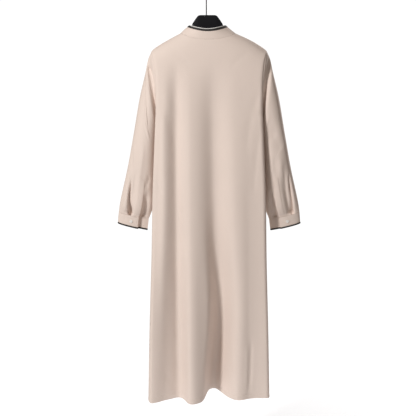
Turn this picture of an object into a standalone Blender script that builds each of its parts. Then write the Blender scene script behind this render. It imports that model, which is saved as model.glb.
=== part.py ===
# Long thobe robe hanging flat on a plain plastic hanger.
# Metres, +Z up. The origin is the inside top of the hanger's hook, where it bears on a rod.
# The front of the garment faces -Y, its back faces +Y, and the wearer's left is +X.
# Heights are given as z, so everything below the hook is negative.

import bmesh
import bpy
import numpy as np

# Cloth and seams
CLOTH = 0.0013
STIFF_CLOTH = 0.0022
SEAM = 0.0003
LAP_GAP = 0.0005

# Shoulder line, neckline and hem, measured from the garment's middle
NECK_X = 0.102
NECK_Z = -0.1735
TIP_X = 0.217
TIP_Z = -0.2385
SHOULDER_CROWN = 0.003
BACK_NECK_Z = -0.197
FRONT_NECK_Z = -0.224
NECK_CURVE = 2.4
UNDERARM_Z = -0.480
HEM_Z = -1.595

# The cloth leaves the shoulder seam level and falls into its full depth over this height
SHOULDER_FALL = 0.035
SHOULDER_ROUND = 0.7

# Corners of the flat hanging body
CORNER_RADIUS = 0.014
SIDE_SEAM_Y = -0.005
ARMHOLE_TURN = np.radians(58.0)
ARMHOLE_CURVE_Z = -0.380
ARMHOLE_CURVE = 2.2

# The whole garment sits a little to the wearer's right below the hanger's hump
LEAN = -0.0065
LEAN_TOP_Z = -0.155
LEAN_FULL_Z = -0.205

# Cross-sections of the body: height, half width across the back, depth of back and front
# from the shoulder plane, and how far the side walls slant in towards the front (degrees)
SECTIONS = np.array([
    (-0.150, 0.2170, 0.055, 0.050, 0.0),
    (-0.239, 0.2170, 0.055, 0.052, 0.0),
    (-0.280, 0.2070, 0.054, 0.053, 8.0),
    (-0.330, 0.2020, 0.054, 0.055, 14.0),
    (-0.420, 0.2005, 0.055, 0.058, 15.0),
    (-0.560, 0.2060, 0.057, 0.062, 14.0),
    (-0.740, 0.2150, 0.062, 0.066, 12.0),
    (-1.050, 0.2235, 0.070, 0.072, 9.0),
    (-1.310, 0.2330, 0.074, 0.079, 7.0),
    (-1.595, 0.2420, 0.075, 0.085, 5.0),
])

# Hanging folds: place across at the last four heights, rise there (negative is a valley),
# half width on the side of +X and of -X, and how square each side is at the hem
FOLD_HEIGHTS = np.array([-0.27, -0.45, -0.85, -1.22, -1.595])
BELL_POWER = 2.0
BACK_FOLDS = np.array([
    (0.070, 0.069, 0.068, 0.066, 0.008, 0.016, 0.034, 0.054, 0.029, 0.052, 3.0, 2.0),
    (-0.014, -0.023, -0.043, -0.018, -0.010, -0.026, -0.062, -0.098, 0.033, 0.044, 4.0, 2.0),
    (0.124, 0.124, 0.124, 0.124, -0.009, -0.014, -0.013, -0.010, 0.020, 0.018, 2.0, 2.0),
    (0.166, 0.172, 0.180, 0.190, 0.006, 0.012, 0.006, 0.000, 0.022, 0.022, 2.0, 2.0),
    (0.190, 0.205, 0.222, 0.228, 0.000, 0.002, 0.032, 0.043, 0.020, 0.054, 2.0, 2.0),
    (-0.090, -0.100, -0.110, -0.116, 0.003, 0.009, 0.012, 0.018, 0.036, 0.056, 2.0, 2.0),
    (-0.150, -0.155, -0.160, -0.160, 0.000, -0.002, -0.004, -0.007, 0.022, 0.060, 2.0, 2.0),
])
FRONT_FOLDS = np.array([
    (0.085, 0.088, 0.096, 0.104, 0.004, 0.012, 0.026, 0.040, 0.030, 0.030, 2.5, 2.5),
    (0.140, 0.150, 0.155, 0.160, -0.003, -0.008, -0.013, -0.018, 0.024, 0.026, 2.0, 2.0),
    (0.046, 0.044, 0.047, 0.050, 0.000, -0.010, -0.028, -0.046, 0.024, 0.028, 2.5, 2.5),
    (-0.058, -0.064, -0.072, -0.080, 0.000, 0.010, 0.022, 0.036, 0.034, 0.030, 2.5, 2.5),
    (-0.118, -0.124, -0.130, -0.136, -0.004, -0.009, -0.015, -0.020, 0.026, 0.024, 2.0, 2.0),
])

# Sleeve: share of the way down, its outer line (x, z), its inner line (x, z),
# half depth front to back, and the middle's y
SLEEVE = np.array([
    (0.00, 0.2170, -0.2385, 0.1850, -0.4800, 0.047, -0.003),
    (0.08, 0.2285, -0.2640, 0.1915, -0.4970, 0.047, -0.004),
    (0.20, 0.2400, -0.3150, 0.2005, -0.5350, 0.046, -0.007),
    (0.40, 0.2650, -0.4150, 0.2065, -0.6120, 0.046, -0.011),
    (0.60, 0.2915, -0.5550, 0.2110, -0.7000, 0.044, -0.014),
    (0.80, 0.3200, -0.6950, 0.2150, -0.7900, 0.040, -0.016),
    (0.92, 0.3480, -0.8120, 0.2190, -0.8450, 0.034, -0.018),
    (1.00, 0.3550, -0.8555, 0.2335, -0.8825, 0.019, -0.018),
])
SLEEVE_SETTLE = 0.26
SLEEVE_HEAD_SHARE = 0.06
SLEEVE_END_SHARE = 0.96

# Sleeve folds: which sleeve (1 left, -1 right, 0 both), place round it in degrees from the
# outer edge over the back at the fold's top and bottom, share of the way down where it starts
# and ends, rise (negative is a valley), half width in degrees
SLEEVE_FOLDS = np.array([
    (1, 70, 72, 0.72, 0.985, -0.013, 13),
    (-1, 66, 64, 0.70, 0.985, -0.013, 13),
    (0, 124, 126, 0.76, 0.985, -0.009, 12),
    (1, 40, 96, 0.16, 0.42, -0.010, 16),
    (-1, 120, 60, 0.30, 0.62, -0.006, 18),
    (0, 236, 250, 0.30, 0.90, -0.008, 20),
])
FOLD_FULLNESS = 0.6
PLEAT_START = 0.95
PLEAT_END = 0.02

# The sleeve sinks in behind the shoulder, on the side that faces back
RECESS_DEPTH = 0.017
RECESS_PLACE = 0.10
RECESS_WIDTH = 0.06
RECESS_FACING = 1.6

# Cuffs: corners of the lower edge (x, z), overlap, buttons
CUFF_LOW_OUT = (0.3595, -0.9000)
CUFF_LOW_IN = (0.2400, -0.9290)
CUFF_LOW_DEPTH = 0.0185
CUFF_STATIONS = 28
CUFF_OVERLAP = 3
CUFF_LAP_EASE = 6
CUFF_EDGE_TURN = np.radians(108.0)
CUFF_TRIM = 0.0060
CUFF_BUTTON_TURN = np.radians(82.0)
CUFF_BUTTON_SHARE = 0.45

# Sleeve opening strip beside the cuff's edge
PLACKET_FIRST_STATION = 5
PLACKET_LAST_STATION = 6
PLACKET_ROWS = 4

# Stand collar with a black binding and a white piping at its top edge
COLLAR_TOP_X = 0.0655
COLLAR_TOP_DEPTH = 0.042
COLLAR_TOP_SIDE_Z = -0.1425
COLLAR_TOP_BACK_Z = -0.1580
COLLAR_TOP_FRONT_Z = -0.1860
COLLAR_TOP_ROUND = 3.0
COLLAR_DIP_ROUND = 1.8
COLLAR_BASE_SHARE = 0.30
COLLAR_BINDING_SHARE = 0.745
COLLAR_PIPING_SHARE = 0.930
COLLAR_OVERLAP = 1
COLLAR_LAP_START = 6
COLLAR_LAP_EASE = 4
COLLAR_BUTTON_SHARE = 0.50

# Strip down the middle of the front, with its buttons
STRIP_HALF_WIDTH = 0.015
STRIP_TOP_DROP = 0.009
STRIP_BOTTOM_Z = -0.560
STRIP_ROWS = 12
FRONT_BUTTON_Z = (-0.290, -0.380, -0.470)
FRONT_FACING = np.array((0.0, -1.0, 0.0))

BUTTON_RADIUS = 0.0060
BUTTON_THICKNESS = 0.0028
BUTTON_SIDES = 20

# Hanger
WIRE_RADIUS = 0.0021
HOOK_RADIUS = 0.0205
HOOK_FILLET = 0.0090
HOOK_TIP_TURN = np.radians(205.0)
STEM_X = 0.0040
HUMP_TOP_Z = -0.1075
HUMP_OUTLINE = np.array([
    (0.0000, -0.1075),
    (0.0290, -0.1075),
    (0.0360, -0.1105),
    (0.0410, -0.1170),
    (0.0495, -0.1285),
    (0.0565, -0.1390),
    (0.0595, -0.1480),
    (0.0690, -0.1570),
    (0.0880, -0.1720),
])
HUMP_LOW_Z = -0.172
ARM_HALF_THICKNESS = 0.0045
ARM_HEIGHT = 0.016
ARM_BEVEL = 0.0030
ARM_SEAT = 0.0012
ARM_END_X = 0.204
ARM_STATIONS = 9

# Mesh steps
NECK_COLUMNS = 8
BACK_SHOULDER_COLUMNS = 14
FRONT_SHOULDER_COLUMNS = 11
ARMHOLE_ROWS = 10
SKIRT_ROWS = 12
ARMHOLE_SPACING = 1.5
SLEEVE_STEPS = np.array([0.00, 0.03, 0.07, 0.12, 0.18, 0.26, 0.35, 0.45,
                         0.55, 0.65, 0.75, 0.85, 0.93, 0.97, 1.00])


def smooth(share):
    """Eases from 0 to 1 as share goes from 0 to 1."""
    share = np.clip(share, 0.0, 1.0)
    return share * share * (3.0 - 2.0 * share)


def through(place, knots, values):
    """Smooth curve through a table's points: cubic pieces whose slopes come from the neighbours."""
    slopes = np.gradient(values, knots)
    first = np.clip(np.searchsorted(knots, place) - 1, 0, len(knots) - 2)
    width = knots[first + 1] - knots[first]
    t = np.clip((place - knots[first]) / width, 0.0, 1.0)
    start = values[first] * (1 + 2 * t) * (1 - t) ** 2 + slopes[first] * width * t * (1 - t) ** 2
    end = values[first + 1] * t * t * (3 - 2 * t) - slopes[first + 1] * width * t * t * (1 - t)
    return start + end


def unit(vectors):
    return vectors / np.maximum(np.linalg.norm(vectors, axis=-1, keepdims=True), 1e-12)


def lean(points):
    """Shifts the cloth sideways below the hump, as the garment hangs off the hanger's middle."""
    moved = points.copy()
    share = (LEAN_TOP_Z - points[..., 2]) / (LEAN_TOP_Z - LEAN_FULL_Z)
    moved[..., 0] += LEAN * smooth(share)
    return moved


def section(height, column):
    return through(-height, -SECTIONS[:, 0], SECTIONS[:, column])


def shoulder_line(x):
    """Height of the shoulder seam, carried on in a straight line inside the neck."""
    share = (np.abs(x) - NECK_X) / (TIP_X - NECK_X)
    crown = SHOULDER_CROWN * np.sin(np.pi * np.clip(share, 0.0, 1.0))
    return NECK_Z + (TIP_Z - NECK_Z) * share + crown


def top_edge(side, x):
    """Upper edge of a panel: its neckline in the middle and its shoulder seams outside that."""
    middle = BACK_NECK_Z if side > 0 else FRONT_NECK_Z
    share = np.clip(np.abs(x) / NECK_X, 0.0, 1.0)
    neckline = middle + (NECK_Z - middle) * share ** NECK_CURVE
    return np.where(np.abs(x) < NECK_X, neckline, shoulder_line(x))


def round_corner(run, flat, turn):
    """A straight run, an arc of the corner's radius through turn, then straight again.

    Gives the distance across and the distance fallen away from the flat."""
    arc = np.clip(run - flat, 0.0, CORNER_RADIUS * turn) / CORNER_RADIUS
    tail = np.maximum(run - flat - CORNER_RADIUS * turn, 0.0)
    across = np.minimum(run, flat) + CORNER_RADIUS * np.sin(arc) + tail * np.cos(turn)
    fallen = CORNER_RADIUS * (1.0 - np.cos(arc)) + tail * np.sin(turn)
    return across, fallen


def half_profile(side, height):
    """Flat length, corner turn, depth and full run of one panel's half section at a height."""
    slant = np.radians(section(height, 4))
    back_flat = section(height, 1) - CORNER_RADIUS
    back_turn = np.pi / 2 + slant
    back_depth = section(height, 2)
    gap = SEAM / 2
    back_tail = (back_depth - SIDE_SEAM_Y - gap
                 - CORNER_RADIUS * (1 - np.cos(back_turn))) / np.sin(back_turn)
    seam_x = back_flat + CORNER_RADIUS * np.sin(back_turn) + back_tail * np.cos(back_turn)
    if side > 0:
        return back_flat, back_turn, back_depth, back_flat + CORNER_RADIUS * back_turn + back_tail
    turn = np.pi / 2 - slant
    depth = section(height, 3)
    tail = (depth + SIDE_SEAM_Y - gap - CORNER_RADIUS * (1 - np.cos(turn))) / np.sin(turn)
    flat = seam_x - CORNER_RADIUS * np.sin(turn) - tail * np.cos(turn)
    return flat, turn, depth, flat + CORNER_RADIUS * turn + tail


def folds(table, x, height):
    """Sum of the hanging folds: bell-shaped ridges and valleys that square up towards the hem."""
    total = np.zeros_like(x)
    squared = np.clip((FOLD_HEIGHTS[2] - height) / (FOLD_HEIGHTS[2] - HEM_Z), 0.0, 1.0)
    for row in table:
        place = through(-height, -FOLD_HEIGHTS[1:], row[0:4])
        rise = through(-height, -FOLD_HEIGHTS, np.concatenate(([0.0], row[4:8])))
        plus = x > place
        width = np.where(plus, row[8], row[9])
        power = BELL_POWER + (np.where(plus, row[10], row[11]) - BELL_POWER) * squared
        total += rise * np.exp(-(np.abs(x - place) / width) ** power)
    return total


def panel(side, across, down):
    """Outer surface of the back (side 1) or front (side -1) panel.

    across runs from -1 to 1 between the side edges, down from 0 at the shoulders to 1 at the hem.
    It fills out below the shoulder seam, whose line is rounded off inside the neck."""
    height = top_edge(side, across * TIP_X) * (1.0 - down) + HEM_Z * down
    flat, turn, depth, full = half_profile(side, height)
    armhole_run = flat + CORNER_RADIUS * ARMHOLE_TURN
    share = np.clip((ARMHOLE_CURVE_Z - height) / (ARMHOLE_CURVE_Z - UNDERARM_Z), 0.0, 1.0)
    run = np.abs(across) * (armhole_run + (full - armhole_run) * share ** ARMHOLE_CURVE)
    x, fallen = round_corner(run, flat, turn)
    x = x * np.sign(across)
    seam_y = side * SIDE_SEAM_Y
    above_seam = np.clip((depth - fallen - seam_y) / (depth - seam_y), 0.0, 1.0)
    table = BACK_FOLDS if side > 0 else FRONT_FOLDS
    from_middle = np.where(np.abs(x) < NECK_X, (NECK_X + x * x / NECK_X) / 2, np.abs(x))
    fall = np.maximum(shoulder_line(from_middle) - height, 0.0) / SHOULDER_FALL
    fill = 1.0 - np.exp(-fall ** SHOULDER_ROUND)
    y = (depth - fallen + folds(table, x, height) * above_seam) * fill
    return np.stack([x, side * y, height], axis=-1)


def panel_rows():
    """Shares of the way down: close at the shoulder, then to the underarm, then down the skirt."""
    armhole = (np.arange(ARMHOLE_ROWS + 1) / ARMHOLE_ROWS) ** ARMHOLE_SPACING
    last = (TIP_Z - UNDERARM_Z) / (TIP_Z - HEM_Z)
    skirt = np.linspace(last, 1.0, SKIRT_ROWS + 1)[1:]
    return np.concatenate([armhole * last, skirt])


def panel_columns(shoulder_columns):
    neck = np.linspace(0.0, NECK_X / TIP_X, NECK_COLUMNS + 1)
    outer = np.linspace(NECK_X / TIP_X, 1.0, shoulder_columns + 1)[1:]
    half = np.concatenate([neck, outer])
    return np.concatenate([-half[:0:-1], half])


def grid_normals(points, outward, wrap=False):
    """Unit normals of a grid of points, turned so that they agree with a rough outward vector."""
    if wrap:
        around = np.roll(points, -1, axis=1) - np.roll(points, 1, axis=1)
    else:
        around = np.gradient(points, axis=1)
    normals = unit(np.cross(around, np.gradient(points, axis=0)))
    facing = np.sign(np.sum(normals * outward, axis=-1, keepdims=True))
    return normals * np.where(facing == 0, 1.0, facing)


def make_object(name, vertices, faces, material, flat=False):
    mesh = bpy.data.meshes.new(name)
    mesh.from_pydata([tuple(v) for v in vertices.tolist()], [], faces)
    work = bmesh.new()
    work.from_mesh(mesh)
    if work.calc_volume(signed=True) < 0:
        bmesh.ops.reverse_faces(work, faces=work.faces[:])
    work.to_mesh(mesh)
    work.free()
    if not flat:
        mesh.shade_smooth()
        mesh.set_sharp_from_angle(angle=np.radians(50.0))
    mesh.materials.append(material)
    thing = bpy.data.objects.new(name, mesh)
    bpy.context.scene.collection.objects.link(thing)
    return thing


def shell(name, outer, inner, material, wrap=False):
    """Closed wall between two matching grids of points; wrap joins the last column to the first."""
    rows, columns = outer.shape[:2]
    count = rows * columns
    faces = []

    def outside(row, column):
        return row * columns + column % columns

    def two_triangles(a, b, c, d):
        faces.append((a, b, c))
        faces.append((a, c, d))

    for row in range(rows - 1):
        for column in range(columns if wrap else columns - 1):
            a = outside(row, column)
            b = outside(row, column + 1)
            c = outside(row + 1, column + 1)
            d = outside(row + 1, column)
            two_triangles(a, b, c, d)
            faces.append((count + c, count + b, count + a))
            faces.append((count + d, count + c, count + a))
    for column in range(columns if wrap else columns - 1):
        a = outside(0, column)
        b = outside(0, column + 1)
        two_triangles(b, a, count + a, count + b)
        a = outside(rows - 1, column)
        b = outside(rows - 1, column + 1)
        two_triangles(a, b, count + b, count + a)
    if not wrap:
        for row in range(rows - 1):
            a = outside(row, 0)
            b = outside(row + 1, 0)
            two_triangles(a, b, count + b, count + a)
            a = outside(row, columns - 1)
            b = outside(row + 1, columns - 1)
            two_triangles(b, a, count + a, count + b)
    vertices = np.concatenate([lean(outer).reshape(-1, 3), lean(inner).reshape(-1, 3)])
    return make_object(name, vertices, faces, material)


def finish(name, colour, roughness):
    material = bpy.data.materials.new(name)
    material.use_nodes = True
    surface = material.node_tree.nodes["Principled BSDF"]
    surface.inputs["Base Color"].default_value = (*colour, 1.0)
    surface.inputs["Roughness"].default_value = roughness
    surface.inputs["Metallic"].default_value = 0.0
    return material


def make_panel(name, side, shoulder_columns, material):
    """One body panel. Its inner wall stops at the seam plane, so the two panels never meet."""
    across, down = np.meshgrid(panel_columns(shoulder_columns), panel_rows())
    outer = panel(side, across, down)
    rough = np.stack([across * 0.5, np.full_like(across, side), np.full_like(across, 0.3)], axis=-1)
    normals = grid_normals(outer, rough)
    inner = outer - normals * CLOTH
    at_shoulder = (down < 1e-9) & (np.abs(across) * TIP_X > NECK_X - 1e-6)
    inner[at_shoulder, 0] = outer[at_shoulder, 0]
    inner[at_shoulder, 1] = outer[at_shoulder, 1]
    inner[at_shoulder, 2] = outer[at_shoulder, 2] - CLOTH
    shell(name, outer, inner, material)
    return outer, normals


def armhole_loop(side, back, front):
    """Points round one armhole: shoulder tip, down the back, underarm, up the front.

    Also gives the direction in which each panel's surface would run on past its edge."""
    column, inside = (-1, -2) if side > 0 else (0, 1)
    loops = []
    for points, normals in (back, front):
        edge = points[:ARMHOLE_ROWS + 1, column]
        along = unit(np.gradient(edge, axis=0))
        beyond = edge - points[:ARMHOLE_ROWS + 1, inside]
        beyond -= along * np.sum(along * beyond, axis=-1, keepdims=True)
        surface = normals[:ARMHOLE_ROWS + 1, column]
        beyond -= surface * np.sum(surface * beyond, axis=-1, keepdims=True)
        loops.append((edge, unit(beyond)))
    (back_edge, back_beyond), (front_edge, front_beyond) = loops
    tip = (back_edge[:1] + front_edge[:1]) / 2
    underarm = (back_edge[-1:] + front_edge[-1:]) / 2
    points = np.concatenate([tip, back_edge[1:-1], underarm, front_edge[-2:0:-1]])
    beyond = np.concatenate([back_beyond[:1] + front_beyond[:1], back_beyond[1:-1],
                             back_beyond[-1:] + front_beyond[-1:], front_beyond[-2:0:-1]])
    return points, unit(beyond)


def sleeve_oval(side, down, turn):
    """Oval sleeve ring between the outer and inner lines, and its normals in its own plane."""
    columns = [through(down, SLEEVE[:, 0], SLEEVE[:, k]) for k in range(1, 7)]
    out_x, out_z, in_x, in_z, depth, middle_y = columns
    half_x = (out_x - in_x) / 2
    half_z = (out_z - in_z) / 2
    cos = np.cos(turn)
    sin = np.sin(turn)
    points = np.stack([side * ((out_x + in_x) / 2 + half_x * cos),
                       middle_y + depth * sin,
                       (out_z + in_z) / 2 + half_z * cos], axis=-1)
    half = np.hypot(half_x, half_z)
    normals = unit(np.stack([side * half_x / half * cos * depth,
                             half * sin,
                             half_z / half * cos * depth], axis=-1))
    return points, normals


def sleeve_relief(side, down, turn):
    """How far the sleeve's folds stand out of its oval or sink into it."""
    degrees = np.degrees(turn)
    total = np.zeros_like(down)
    for which, top, bottom, start, end, rise, width in SLEEVE_FOLDS:
        if which not in (0, side):
            continue
        share = (down - start) / (end - start)
        place = top + (bottom - top) * share
        if end > PLEAT_START:
            window = smooth(share / FOLD_FULLNESS) * smooth((1.0 - down) / PLEAT_END)
        else:
            window = np.sin(np.pi * np.clip(share, 0, 1)) ** FOLD_FULLNESS
        total += rise * window * np.exp(-((degrees - place) / width) ** 2)
    recess = np.exp(-((down - RECESS_PLACE) / RECESS_WIDTH) ** 2) * smooth(down / SLEEVE_HEAD_SHARE)
    facing = smooth(np.sin(turn) * RECESS_FACING)
    return total - RECESS_DEPTH * recess * facing


def make_sleeve(name, side, armhole, beyond, material):
    count = len(armhole)
    turn, down = np.meshgrid(np.arange(count) * 2 * np.pi / count, SLEEVE_STEPS)
    oval, normals = sleeve_oval(side, down, turn)
    head, _ = sleeve_oval(side, np.zeros(count), turn[0])
    settle = (np.clip(1 - down / SLEEVE_SETTLE, 0, 1) ** 2)[..., None]
    outer = oval + (armhole + beyond * SEAM - head) * settle
    outer += normals * sleeve_relief(side, down, turn)[..., None]
    outer[..., 2] += SEAM * down
    at_head = 1 - smooth(down / SLEEVE_HEAD_SHARE)
    at_cuff = smooth((down - SLEEVE_END_SHARE) / (1 - SLEEVE_END_SHARE))
    ends = np.maximum(at_head, at_cuff)[..., None]
    walls = grid_normals(outer, normals, wrap=True)
    walls = unit(normals * ends + walls * (1 - ends))
    shell(name, outer, outer - walls * CLOTH, material, wrap=True)
    return outer, walls


def make_sleeve_placket(name, sleeve, material):
    """Strip over the sleeve's opening, made from the sleeve's own points moved out."""
    points, walls = sleeve
    last = len(SLEEVE_STEPS) - 2
    rows = slice(last - PLACKET_ROWS + 1, last + 1)
    columns = slice(PLACKET_FIRST_STATION, PLACKET_LAST_STATION + 1)
    base = points[rows, columns]
    normals = walls[rows, columns]
    shell(name, base + normals * (LAP_GAP + CLOTH), base + normals * LAP_GAP, material)


def cuff_ring(side, turn, share, outwards):
    """Points of the cuff at a turn from its outer edge and a share of its height from the top."""
    top = SLEEVE[-1, 1:7]
    out_x = top[0] + (CUFF_LOW_OUT[0] - top[0]) * share
    out_z = top[1] + (CUFF_LOW_OUT[1] - top[1]) * share
    in_x = top[2] + (CUFF_LOW_IN[0] - top[2]) * share
    in_z = top[3] + (CUFF_LOW_IN[1] - top[3]) * share
    depth = top[4] + (CUFF_LOW_DEPTH - top[4]) * share
    half_x = (out_x - in_x) / 2
    half_z = (out_z - in_z) / 2
    half = np.hypot(half_x, half_z)
    normal_along = np.cos(turn) * depth
    normal_y = np.sin(turn) * half
    size = np.hypot(normal_along, normal_y)
    along = np.cos(turn) * half + outwards * normal_along / size
    return np.stack([side * ((out_x + in_x) / 2 + along * half_x / half),
                     top[5] + np.sin(turn) * depth + outwards * normal_y / size,
                     (out_z + in_z) / 2 + along * half_z / half], axis=-1)


def make_cuff(name, side, first, last, material):
    """Band round the wrist whose outer end laps over its inner end on the back."""
    stations = np.arange(CUFF_STATIONS + CUFF_OVERLAP + 1)
    turn = CUFF_EDGE_TURN - stations * 2 * np.pi / CUFF_STATIONS
    lift = (STIFF_CLOTH + LAP_GAP) * (1 - smooth((stations - CUFF_OVERLAP) / CUFF_LAP_EASE))
    turn, share = np.meshgrid(turn, np.linspace(first, last, 2))
    shell(name, cuff_ring(side, turn, share, lift), cuff_ring(side, turn, share, lift - STIFF_CLOTH),
          material)


def make_button(name, centre, facing, material):
    """Turned button: flat back, rounded rim and a dished face."""
    profile = np.array([(0.0, 0.0), (0.8, 0.0), (1.0, 0.35), (1.0, 0.65), (0.9, 1.0),
                        (0.72, 0.97), (0.6, 0.66), (0.0, 0.6)])
    facing = unit(np.asarray(facing))
    sideways = unit(np.cross(facing, (0.0, 0.0, 1.0)))
    upright = np.cross(sideways, facing)
    turn = np.arange(BUTTON_SIDES) * 2 * np.pi / BUTTON_SIDES
    ring = np.cos(turn)[:, None] * sideways + np.sin(turn)[:, None] * upright
    middle = profile[1:-1]
    rings = (ring[None] * middle[:, :1, None] * BUTTON_RADIUS
             + facing * middle[:, 1:, None] * BUTTON_THICKNESS)
    vertices = np.concatenate([rings.reshape(-1, 3), [facing * 0.0],
                               [facing * profile[-1, 1] * BUTTON_THICKNESS]]) + centre
    faces = []
    last = len(middle) - 1
    low = len(vertices) - 2
    high = len(vertices) - 1
    for k in range(BUTTON_SIDES):
        following = (k + 1) % BUTTON_SIDES
        for row in range(last):
            a = row * BUTTON_SIDES
            b = a + BUTTON_SIDES
            faces.append((a + k, a + following, b + following, b + k))
        faces.append((low, following, k))
        faces.append((high, last * BUTTON_SIDES + k, last * BUTTON_SIDES + following))
    make_object(name, vertices, faces, material)


def neck_loop(back, front):
    """Outer neckline points: front middle, left neck point, back middle, right neck point."""
    def neck_part(points):
        middle = points.shape[1] // 2
        return points[0, middle - NECK_COLUMNS:middle + NECK_COLUMNS + 1]

    back_neck = neck_part(back)
    front_neck = neck_part(front)
    left = (back_neck[-1:] + front_neck[-1:]) / 2
    right = (back_neck[:1] + front_neck[:1]) / 2
    loop = np.concatenate([front_neck[NECK_COLUMNS:-1], left, back_neck[-2:0:-1], right,
                           front_neck[1:NECK_COLUMNS]])
    sides = np.concatenate([np.full(NECK_COLUMNS, -1.0), np.full(2 * NECK_COLUMNS + 1, 1.0),
                            np.full(NECK_COLUMNS - 1, -1.0)])
    return loop, sides


def collar_lines(back, front):
    """Lower and upper edge of the collar, matched point to point, with the lap at the front."""
    low, sides = neck_loop(back, front)
    share = np.clip(low[:, 0] / NECK_X, -1.0, 1.0)
    dip = np.abs(share) ** COLLAR_DIP_ROUND
    middle_z = np.where(sides > 0, COLLAR_TOP_BACK_Z, COLLAR_TOP_FRONT_Z)
    high = np.stack([share * COLLAR_TOP_X,
                     sides * COLLAR_TOP_DEPTH * (1 - np.abs(share) ** COLLAR_TOP_ROUND),
                     middle_z + (COLLAR_TOP_SIDE_Z - middle_z) * dip], axis=-1)
    count = len(low)
    path = np.arange(-COLLAR_OVERLAP, count + COLLAR_OVERLAP + 1)
    low = low + np.array((0.0, 0.0, SEAM))
    middle = (low + high) / 2
    outward = unit(np.stack([middle[:, 0], middle[:, 1] * 2, np.zeros(count)], axis=-1))
    along = np.roll(middle, -1, axis=0) - np.roll(middle, 1, axis=0)
    normal = unit(np.cross(along, high - low))
    normal *= np.sign(np.sum(normal * outward, axis=-1, keepdims=True))
    lift = (STIFF_CLOTH + LAP_GAP) * smooth((path - count + COLLAR_LAP_START) / COLLAR_LAP_EASE)
    return low[path % count], high[path % count], normal[path % count], lift


def make_collar_band(name, lines, first, last, material):
    low, high, normal, lift = lines
    share = np.linspace(first, last, 3)[:, None, None]
    base = low + (high - low) * share
    level = unit(normal * (1.0, 1.0, 0.0))
    wall = unit(level + (normal - level) * smooth(share / COLLAR_BASE_SHARE))
    shell(name, base + wall * lift[:, None], base + wall * (lift - STIFF_CLOTH)[:, None], material)


def make_front_strip(material):
    """Strip down the middle of the front, made from the front's own points moved out."""
    x, row = np.meshgrid(np.linspace(-STRIP_HALF_WIDTH, STRIP_HALF_WIDTH, 3),
                         np.linspace(0, 1, STRIP_ROWS + 1))
    top = FRONT_NECK_Z - STRIP_TOP_DROP
    points = front_surface(x, top + (STRIP_BOTTOM_Z - top) * row)
    normals = grid_normals(points, FRONT_FACING)
    shell("front_strip", points + normals * (LAP_GAP + CLOTH), points + normals * LAP_GAP, material)


def front_surface(x, height):
    """Points of the front's outer surface at given places near its middle."""
    down = (height - top_edge(-1, x)) / (HEM_Z - top_edge(-1, x))
    return panel(-1, x / TIP_X, down)


def tube(name, path, radius, sides, material):
    """Round wire along a path in the xz plane, with flat ends."""
    along = unit(np.gradient(path, axis=0))
    side = np.array((0.0, 1.0, 0.0))
    up = np.cross(along, side)
    turn = np.arange(sides) * 2 * np.pi / sides
    rings = path[:, None] + radius * (np.cos(turn)[None, :, None] * side
                                      + np.sin(turn)[None, :, None] * up[:, None])
    faces = [tuple(range(sides)), tuple(range(len(path) * sides - 1, (len(path) - 1) * sides - 1, -1))]
    for row in range(len(path) - 1):
        for k in range(sides):
            following = (k + 1) % sides
            a = row * sides
            b = a + sides
            faces.append((a + following, a + k, b + k, b + following))
    make_object(name, rings.reshape(-1, 3), faces, material)


def make_hook(material):
    """Question-mark hook: tip, round over the top, back through a fillet and down a straight stem."""
    centre_z = WIRE_RADIUS - HOOK_RADIUS
    reach = HOOK_RADIUS + HOOK_FILLET
    low_turn = np.arccos((STEM_X + HOOK_FILLET) / reach)
    turns = np.linspace(HOOK_TIP_TURN, -low_turn, 24)
    bow = np.stack([HOOK_RADIUS * np.cos(turns), centre_z + HOOK_RADIUS * np.sin(turns)], axis=-1)
    bends = np.linspace(np.pi - low_turn, np.pi, 7)[1:]
    fillet_x = reach * np.cos(low_turn)
    fillet_z = centre_z - reach * np.sin(low_turn)
    fillet = np.stack([fillet_x + HOOK_FILLET * np.cos(bends),
                       fillet_z + HOOK_FILLET * np.sin(bends)], axis=-1)
    stem = np.array([(STEM_X, HUMP_TOP_Z + SEAM)])
    line = np.concatenate([bow, fillet, stem])
    path = np.stack([line[:, 0], np.zeros(len(line)), line[:, 1]], axis=-1)
    tube("hanger_hook", path, WIRE_RADIUS, 12, material)


def make_hanger(material):
    """Hump and arms in one bar: an eight-sided section carried from tip to tip."""
    half = np.concatenate([HUMP_OUTLINE[:, 0], np.linspace(NECK_X, ARM_END_X, ARM_STATIONS)])
    arm_top = shoulder_line(half[len(HUMP_OUTLINE):]) - CLOTH - ARM_SEAT
    top = np.concatenate([HUMP_OUTLINE[:, 1], arm_top])
    low = np.minimum(top - ARM_HEIGHT, HUMP_LOW_Z)
    low[-1] = top[-1] - ARM_HEIGHT / 2
    x = np.concatenate([-half[:0:-1], half])
    top = np.concatenate([top[:0:-1], top])
    low = np.concatenate([low[:0:-1], low])
    y = ARM_HALF_THICKNESS
    bevel = ARM_BEVEL
    corners = ((y - bevel, 0.0, 1), (y, -bevel, 1), (y, bevel, 0), (y - bevel, 0.0, 0),
               (bevel - y, 0.0, 0), (-y, bevel, 0), (-y, -bevel, 1), (bevel - y, 0.0, 1))
    rings = np.stack([np.stack([x, np.full_like(x, cy), (top if at_top else low) + cz], axis=-1)
                      for cy, cz, at_top in corners], axis=1)
    count = len(corners)
    faces = [tuple(range(count)), tuple(range(len(x) * count - 1, (len(x) - 1) * count - 1, -1))]
    for row in range(len(x) - 1):
        for k in range(count):
            a = row * count
            b = a + count
            following = (k + 1) % count
            faces.append((a + following, a + k, b + k, b + following))
    make_object("hanger_body", lean(rings).reshape(-1, 3), faces, material, flat=True)


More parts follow.
